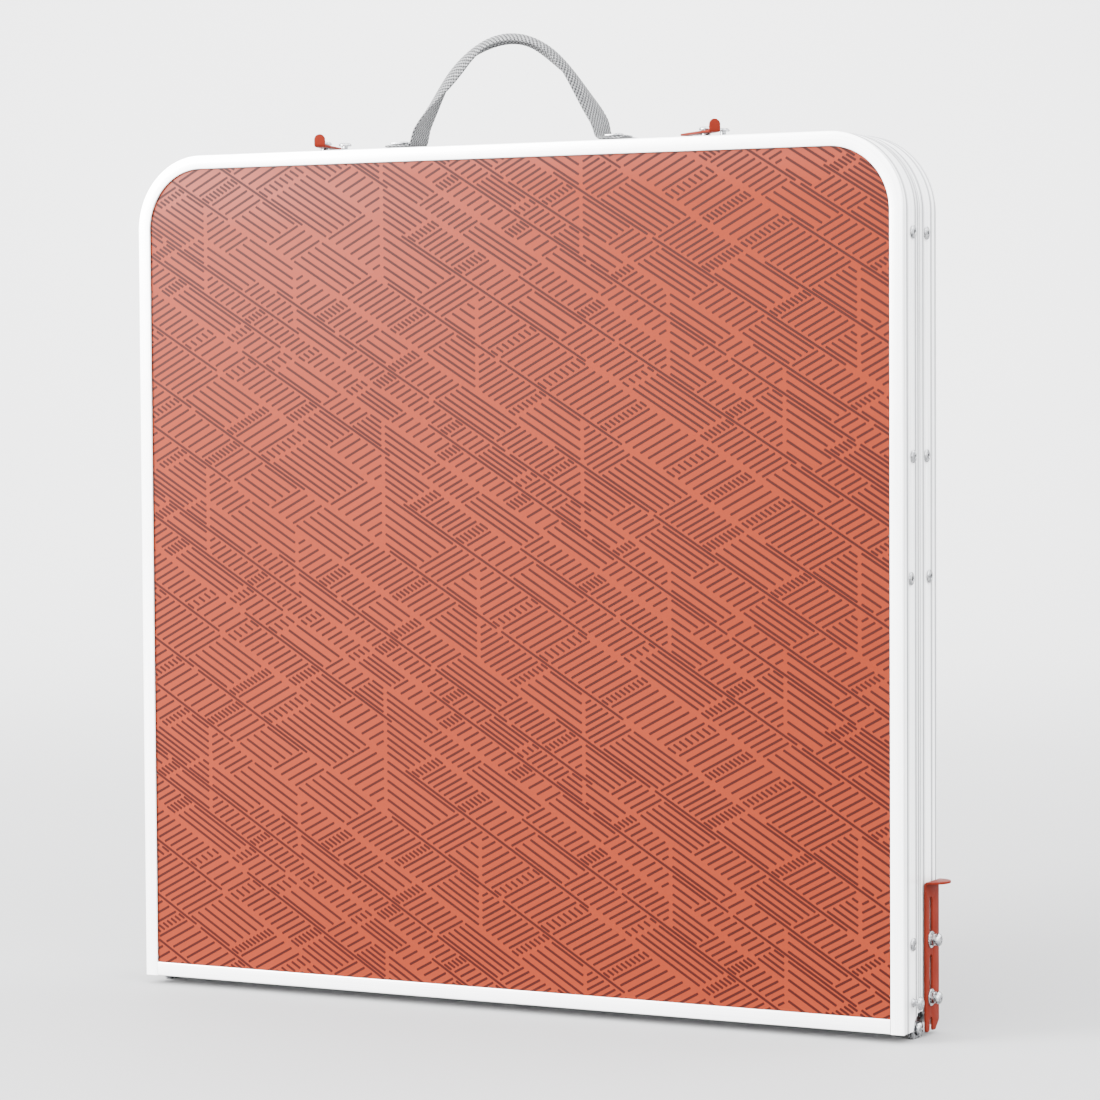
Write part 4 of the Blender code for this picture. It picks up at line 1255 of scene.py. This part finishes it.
def strap_line():
    """The strap's middle line as finely spaced (x, z) points: flat at both ends, arched between."""
    low, high = corners_of("strap")
    foot = 73.0
    base = low.z + 1.0
    rise = high.z - base + 3.0
    coarse = [(-high.x, base), (-foot - 2.5, base)]
    steps = 220
    for step in range(1, steps):
        x = -foot * math.cos(math.pi * step / steps)
        coarse.append((x, base + rise * max(0.0, 1.0 - (x / foot) ** 2) ** 0.74))
    coarse += [(foot + 2.5, base), (high.x, base)]
    gone = [0.0]
    for here, after in zip(coarse, coarse[1:]):
        gone.append(gone[-1] + math.dist(here, after))
    pitch = 0.7
    count = round(gone[-1] / pitch)
    line = []
    index = 0
    for step in range(count + 1):
        target = gone[-1] * step / count
        while index < len(gone) - 2 and gone[index + 1] < target:
            index += 1
        share = (target - gone[index]) / (gone[index + 1] - gone[index])
        here, after = coarse[index], coarse[index + 1]
        line.append(between_points(here, after, share))
    return line, gone[-1]


def bell(value, centre, width):
    return math.exp(-((value - centre) / width) ** 2)


def strap_twist(gone, length):
    """How far the webbing is turned about its own line, in radians; its feet lie flat."""
    free = min(gone, length - gone) - 19.0
    hold = min(1.0, max(0.0, free / 16.0))
    left_turn = 33.0 * bell(gone, 79.0, 31.0)
    right_turn = 7.0 * bell(gone, length - 42.0, 20.0) - 22.0 * bell(gone, length - 92.0, 28.0)
    return hold * math.radians(left_turn + right_turn)


def strap_section(half_wide):
    """The webbing's (v, h) points once round, h from -1 on its lower face to 1 on its upper face."""
    inner = [half_wide - 1.0 - 0.7 * step for step in range(34)]
    inner = [v for v in inner if v > 1.2 - half_wide]
    rim = [(half_wide, 0.0), (half_wide - 0.12, 0.5), (half_wide - 0.5, 0.85)]
    top = rim[1:] + [(v, 1.0) for v in inner] + [(-v, h) for v, h in reversed(rim)]
    return top + [(v, -h) for v, h in reversed(top[:-1])] + [rim[0]]


def strap():
    """Woven webbing with modelled yarns, hollowed along its middle and twisted in both legs."""
    low, high = corners_of("strap")
    middle_y = (low.y + high.y) / 2
    line, length = strap_line()
    smooth_line = []
    for index, spot in enumerate(line):
        if 24 <= index <= len(line) - 25:
            window = line[index - 5:index + 6]
            spot = (sum(p[0] for p in window) / len(window), sum(p[1] for p in window) / len(window))
        smooth_line.append(spot)
    loop = strap_section((high.y - low.y) / 2)
    count = len(loop)
    vertices = []
    run = []
    depth = []
    for index, (x, z) in enumerate(smooth_line):
        before = smooth_line[max(index - 1, 0)]
        after = smooth_line[min(index + 1, len(smooth_line) - 1)]
        along = Vector((after[0] - before[0], 0.0, after[1] - before[1])).normalized()
        gone = length * index / (len(line) - 1)
        curl = 0.078 * max(0.0, 1.0 - ((gone - length / 2) / (length * 0.38)) ** 4) ** 1.2 + 1e-5
        turn = Matrix.Rotation(strap_twist(gone, length), 3, along)
        across = Vector((0.0, 1.0, 0.0))
        lift = turn @ along.cross(across)
        across = turn @ across
        for v, h in loop:
            outer = 1.0 if h > 0 else -1.0
            weave = math.sin(math.tau * gone / YARN) * math.sin(math.tau * v / YARN) * outer
            sunk = 0.5 - 0.5 * weave
            radius = 1.0 / curl + h - outer * 0.45 * sunk * h * h
            angle = v * curl
            spot = Vector((x, middle_y, z)) + across * radius * math.sin(angle)
            spot += lift * (radius * math.cos(angle) - 1.0 / curl)
            vertices.append(spot)
            run.append((gone, v + (40.0 if h < 0 else 0.0), 0.0))
            # the sunk share goes to the edge attribute, where the finish paints shade into the weave's
            # hollows
            depth.append(sunk)
    faces = []
    for ring in range(len(line) - 1):
        faces += band(ring * count, (ring + 1) * count, count)
    faces.append(list(range(count))[::-1])
    faces.append([(len(line) - 1) * count + i for i in range(count)])
    shape = (vertices, faces, {"run": run, "edge": depth})
    add_piece("fine_strap", shape, WEB, "half_a", ["strap"], sharp=80.0)


# ---- Behind the boards ---------------------------------------------------------------------------

def batten(tag, half):
    """A flat bar behind the board whose ends turn up against the side rails."""
    node = f"batten_{tag}"
    low, high = corners_of(node)
    deep = min(abs(low.y), abs(high.y))
    end = high.x
    lip = HALF_WIDTH - LIP - 0.3
    right = [(lip, TRAY_DEPTH - SLOT_BOTTOM - 0.3, 0.5), (lip, TRAY_DEPTH - SEAT_BOTTOM - 0.3, 0.3)]
    right += [(end, TRAY_DEPTH - SEAT_BOTTOM - 0.8, 1.6), (end, deep, 0.5), (end - 1.5, deep, 0.5)]
    right += [(end - 1.5, 22.4, 1.0)]
    corners = right + [(-x, y, r) for x, y, r in reversed(right)]
    outline = [(x, half * y) for x, y in round_corners(corners, steps=4)]
    shape = moved(plate(outline, [], high.z - low.z, 0.3), Matrix.Translation((0.0, 0.0, low.z)))
    add_piece(f"fine_{node}", shape, BAR_METAL, f"half_{tag}", [node])


def tube_shape(outer, bore, low, high, ease=0.3, steps=48):
    corners = [(bore, low, 0.2), (outer, low, ease), (outer, high, ease), (bore, high, 0.2)]
    return turned(round_corners(corners, steps=3), steps, closed=True)


def leg_tube(tag, side_name, side):
    """The outer leg tube with its pivot holes and the hole that the spring button snaps into."""
    node = f"leg_tube_{tag}_{side_name}"
    low, high = corners_of(node)
    middle = middle_of(node)
    place = Matrix.Translation((middle.x, middle.y, 0.0))
    pivot = middle_of(f"leg_pivot_{tag}_{side_name}").z
    shape = moved(tube_shape(9.5, 8.3, low.z, high.z), place)
    thing = add_piece(f"fine_{node}", shape, TUBE_METAL, f"leg_frame_{tag}", [node])
    across = axis_frame((middle.x, middle.y, pivot), (1, 0, 0))
    drill = moved(prism(ring_of(2.8), -20.0, 20.0), across)
    button = axis_frame((middle.x, middle.y, low.z + BUTTON_RISE), (side, 0, 0))
    cut_away(thing, drill, moved(prism(ring_of(3.1), 0.0, 20.0), button))
    soften(thing, 35.0)


def inner_leg(tag, side_name, side):
    """The telescopic inner tube with the spring button pressed in near its upper end."""
    node = f"inner_leg_{tag}_{side_name}"
    low, high = corners_of(node)
    middle = middle_of(node)
    place = Matrix.Translation((middle.x, middle.y, 0.0))
    tube_low = corners_of(f"leg_tube_{tag}_{side_name}")[0].z
    button_z = tube_low + BUTTON_RISE + LEG_TRAVEL
    button = [(0.0, 8.24), (1.2, 8.18), (2.1, 7.9), (2.6, 7.4), (2.7, 6.9), (0.0, 6.9)]
    spot = axis_frame((middle.x, middle.y, button_z), (side, 0, 0))
    shape = merged(moved(tube_shape(8.0, 6.8, low.z, high.z), place), moved(turned(button, 24), spot))
    add_piece(f"fine_{node}", shape, TUBE_METAL, f"lower_leg_{tag}_{side_name}", [node])


def foot(tag, side_name):
    """A moulded cup foot with two shallow grooves and a hollow sole."""
    node = f"foot_{tag}_{side_name}"
    low = corners_of(node)[0]
    middle = middle_of(node)
    corners = [(0.0, 6.0), (8.3, 6.0, 0.3), (8.3, 18.0, 0.3), (9.9, 18.0, 0.5), (10.5, 16.6, 0.6)]
    for level in (12.6, 9.4):
        for radius, rise in ((10.5, 0.6), (10.0, 0.3), (10.0, -0.3), (10.5, -0.6)):
            corners.append((radius, level + rise, 0.2))
    corners += [(10.5, 1.6, 0.8), (9.2, 0.0, 0.8), (6.6, 0.0, 0.3), (6.2, 0.8, 0.3), (0.0, 0.8)]
    place = Matrix.Translation((middle.x, middle.y, low.z))
    shape = moved(turned(rounded_profile(corners), 56), place)
    add_piece(f"fine_{node}", shape, BLACK, f"lower_leg_{tag}_{side_name}", [node])


def crossbar(tag):
    """The tube between a pair of legs, its ends coped round them."""
    node = f"leg_crossbar_{tag}"
    middle = middle_of(node)
    leg_x = middle_of(f"leg_tube_{tag}_right").x
    steps = 48
    vertices = []
    rings = []
    ends = ((-1, 7.0, 0.35), (1, 7.0, 0.35), (1, 6.7, 0.0), (1, 5.8, 0.0), (-1, 5.8, 0.0), (-1, 6.7, 0.0))
    for side, radius, back in ends:
        rings.append(len(vertices))
        for step in range(steps):
            angle = math.tau * step / steps
            y, z = radius * math.cos(angle), radius * math.sin(angle)
            reach = leg_x - math.sqrt(9.7 ** 2 - y ** 2) - back
            vertices.append((side * reach, middle.y + y, middle.z + z))
    faces = []
    for here, after in zip(rings, rings[1:] + rings[:1]):
        faces += band(here, after, steps)
    add_piece(f"fine_{node}", (vertices, faces), BAR_METAL, f"leg_frame_{tag}", [node])


def wire_brace(tag, half):
    """The U-shaped wire folded towards the carrying edge."""
    node = f"wire_brace_{tag}"
    pivot = middle_of(f"brace_pivot_{tag}_left")
    end = corners_of(node)[1].x
    tilt = math.radians(2.4)
    right = [(end, 0.0), (286.6, 0.0)] + arc((286.0, 5.0), 5.0, 270.0, 180.0, 12)
    right += arc((281.0 - 35.0, 199.0 - 35.0), 35.0, 0.0, 90.0, 30)
    path = right + [(-x, length) for x, length in reversed(right)]
    points = []
    for x, length in path:
        points.append((x, pivot.y - half * math.sin(tilt) * length, pivot.z + math.cos(tilt) * length))
    shape = swept_tube(points, 2.5, 24)
    add_piece(f"fine_{node}", shape, ZINC, f"brace_{tag}", [node])


# ---- Assembly ------------------------------------------------------------------------------------

for tag, half in HALVES:
    edge_rail(tag, half)
    hinge_rail(tag, half)
    board(tag, half)
    print_layer(tag, half)
    batten(tag, half)
    crossbar(tag)
    wire_brace(tag, half)
    for side_name, side in SIDES:
        hinge_ear(tag, half, side_name, side)
        leg_tube(tag, side_name, side)
        inner_leg(tag, side_name, side)
        foot(tag, side_name)
        leg_pivot(tag, side_name, side)
        brace_pivot(tag, side_name, side)
        pop_rivet(f"batten_rivet_{tag}_{side_name}", f"half_{tag}", side)

for side_name, side in SIDES:
    hinge_bolt(side_name, side)
    catch_stud(side_name, side)
    slide_lock(side_name, side)
    lock_bolt(side_name, side, "lower")
    lock_bolt(side_name, side, "upper")
    latch_screw(f"latch_pivot_{side_name}", "half_a")
    latch_screw(f"latch_catch_{side_name}", "half_b")
    latch_lever(side_name)
    strap_clamp(side_name)

strap()


# ---- Floor, light and camera ---------------------------------------------------------------------

def sweep_backdrop():
    """A pale floor that curves up into a wall far behind the table."""
    made = Finish("pale_floor", 0.7, Specular_IOR_Level=0.2)
    mottle = made.noise((0.0012, 0.0012, 0.0012), 2.0)
    made.link(made.ramp(mottle, (0.2, (0.248, 0.248, 0.249)), (0.8, (0.258, 0.258, 0.258))), "Base Color")
    reach = 9000.0
    bend = 3000.0
    back = 3200.0
    profile = [(-reach, 0.0), (back, 0.0)]
    profile += arc((back, bend), bend, -90.0, 0.0, 48)[1:]
    profile += [(back + bend, 9000.0)]
    vertices = []
    faces = []
    for y, z in profile:
        vertices += [(-reach, y, z), (reach, y, z)]
    for row in range(len(profile) - 1):
        low = 2 * row
        faces.append([low, low + 1, low + 3, low + 2])
    floor = add_piece("floor", (vertices, faces), made.material, None)
    turn = Matrix.Rotation(math.radians(27.4), 4, "Z")
    floor.data.transform(turn)


def soft_box(name, place, target, size, power):
    light = bpy.data.lights.new(name, "AREA")
    light.shape = "RECTANGLE"
    light.size = light.size_y = size
    light.energy = power
    lamp = bpy.data.objects.new(name, light)
    bpy.context.scene.collection.objects.link(lamp)
    lamp.location = place
    aim = Vector(target) - Vector(place)
    lamp.rotation_mode = "QUATERNION"
    lamp.rotation_quaternion = aim.to_track_quat("-Z", "Y")


def studio():
    world = bpy.data.worlds.new("studio")
    world.use_nodes = True
    tree = world.node_tree
    direction = tree.nodes.new("ShaderNodeTexCoord").outputs["Generated"]
    parts = tree.nodes.new("ShaderNodeSeparateXYZ")
    tree.links.new(direction, parts.inputs["Vector"])
    sky = tree.nodes.new("ShaderNodeMapRange")
    tree.links.new(parts.outputs["Z"], sky.inputs["Value"])
    for socket, value in (("From Min", 0.0), ("From Max", 0.45), ("To Min", 3.0), ("To Max", 10.0)):
        sky.inputs[socket].default_value = value
    background = tree.nodes["Background"]
    background.inputs["Color"].default_value = (0.98, 0.985, 1.0, 1.0)
    tree.links.new(sky.outputs["Result"], background.inputs["Strength"])
    bpy.context.scene.world = world
    soft_box("key", (-2.4, -2.6, 1.6), (-0.1, 0.0, 0.35), 1.8, 800.0)
    soft_box("backdrop", (-1.6, 3.0, 3.4), (-3.0, 6.0, 0.6), 3.0, 1250.0)


def photo_camera():
    """The camera: low, to the right of the printed face, with a long lens."""
    data = bpy.data.cameras.new("camera")
    data.sensor_width = 36.0
    data.lens = 122.515
    data.clip_end = 100.0
    camera = bpy.data.objects.new("camera", data)
    bpy.context.scene.collection.objects.link(camera)
    yaw, pitch, roll = 0.478064, 0.045578, -0.005853
    forward = Vector((-math.sin(yaw) * math.cos(pitch), math.cos(yaw) * math.cos(pitch), -math.sin(pitch)))
    right = forward.cross(Vector((0.0, 0.0, 1.0))).normalized()
    up = right.cross(forward)
    level = right * math.cos(roll) + up * math.sin(roll)
    upright = up * math.cos(roll) - right * math.sin(roll)
    turn = Matrix((level, upright, -forward)).transposed().to_4x4()
    camera.matrix_world = Matrix.Translation((1.22801, -2.32785, 0.44306)) @ turn
    bpy.context.scene.camera = camera


sweep_backdrop()
studio()
photo_camera()
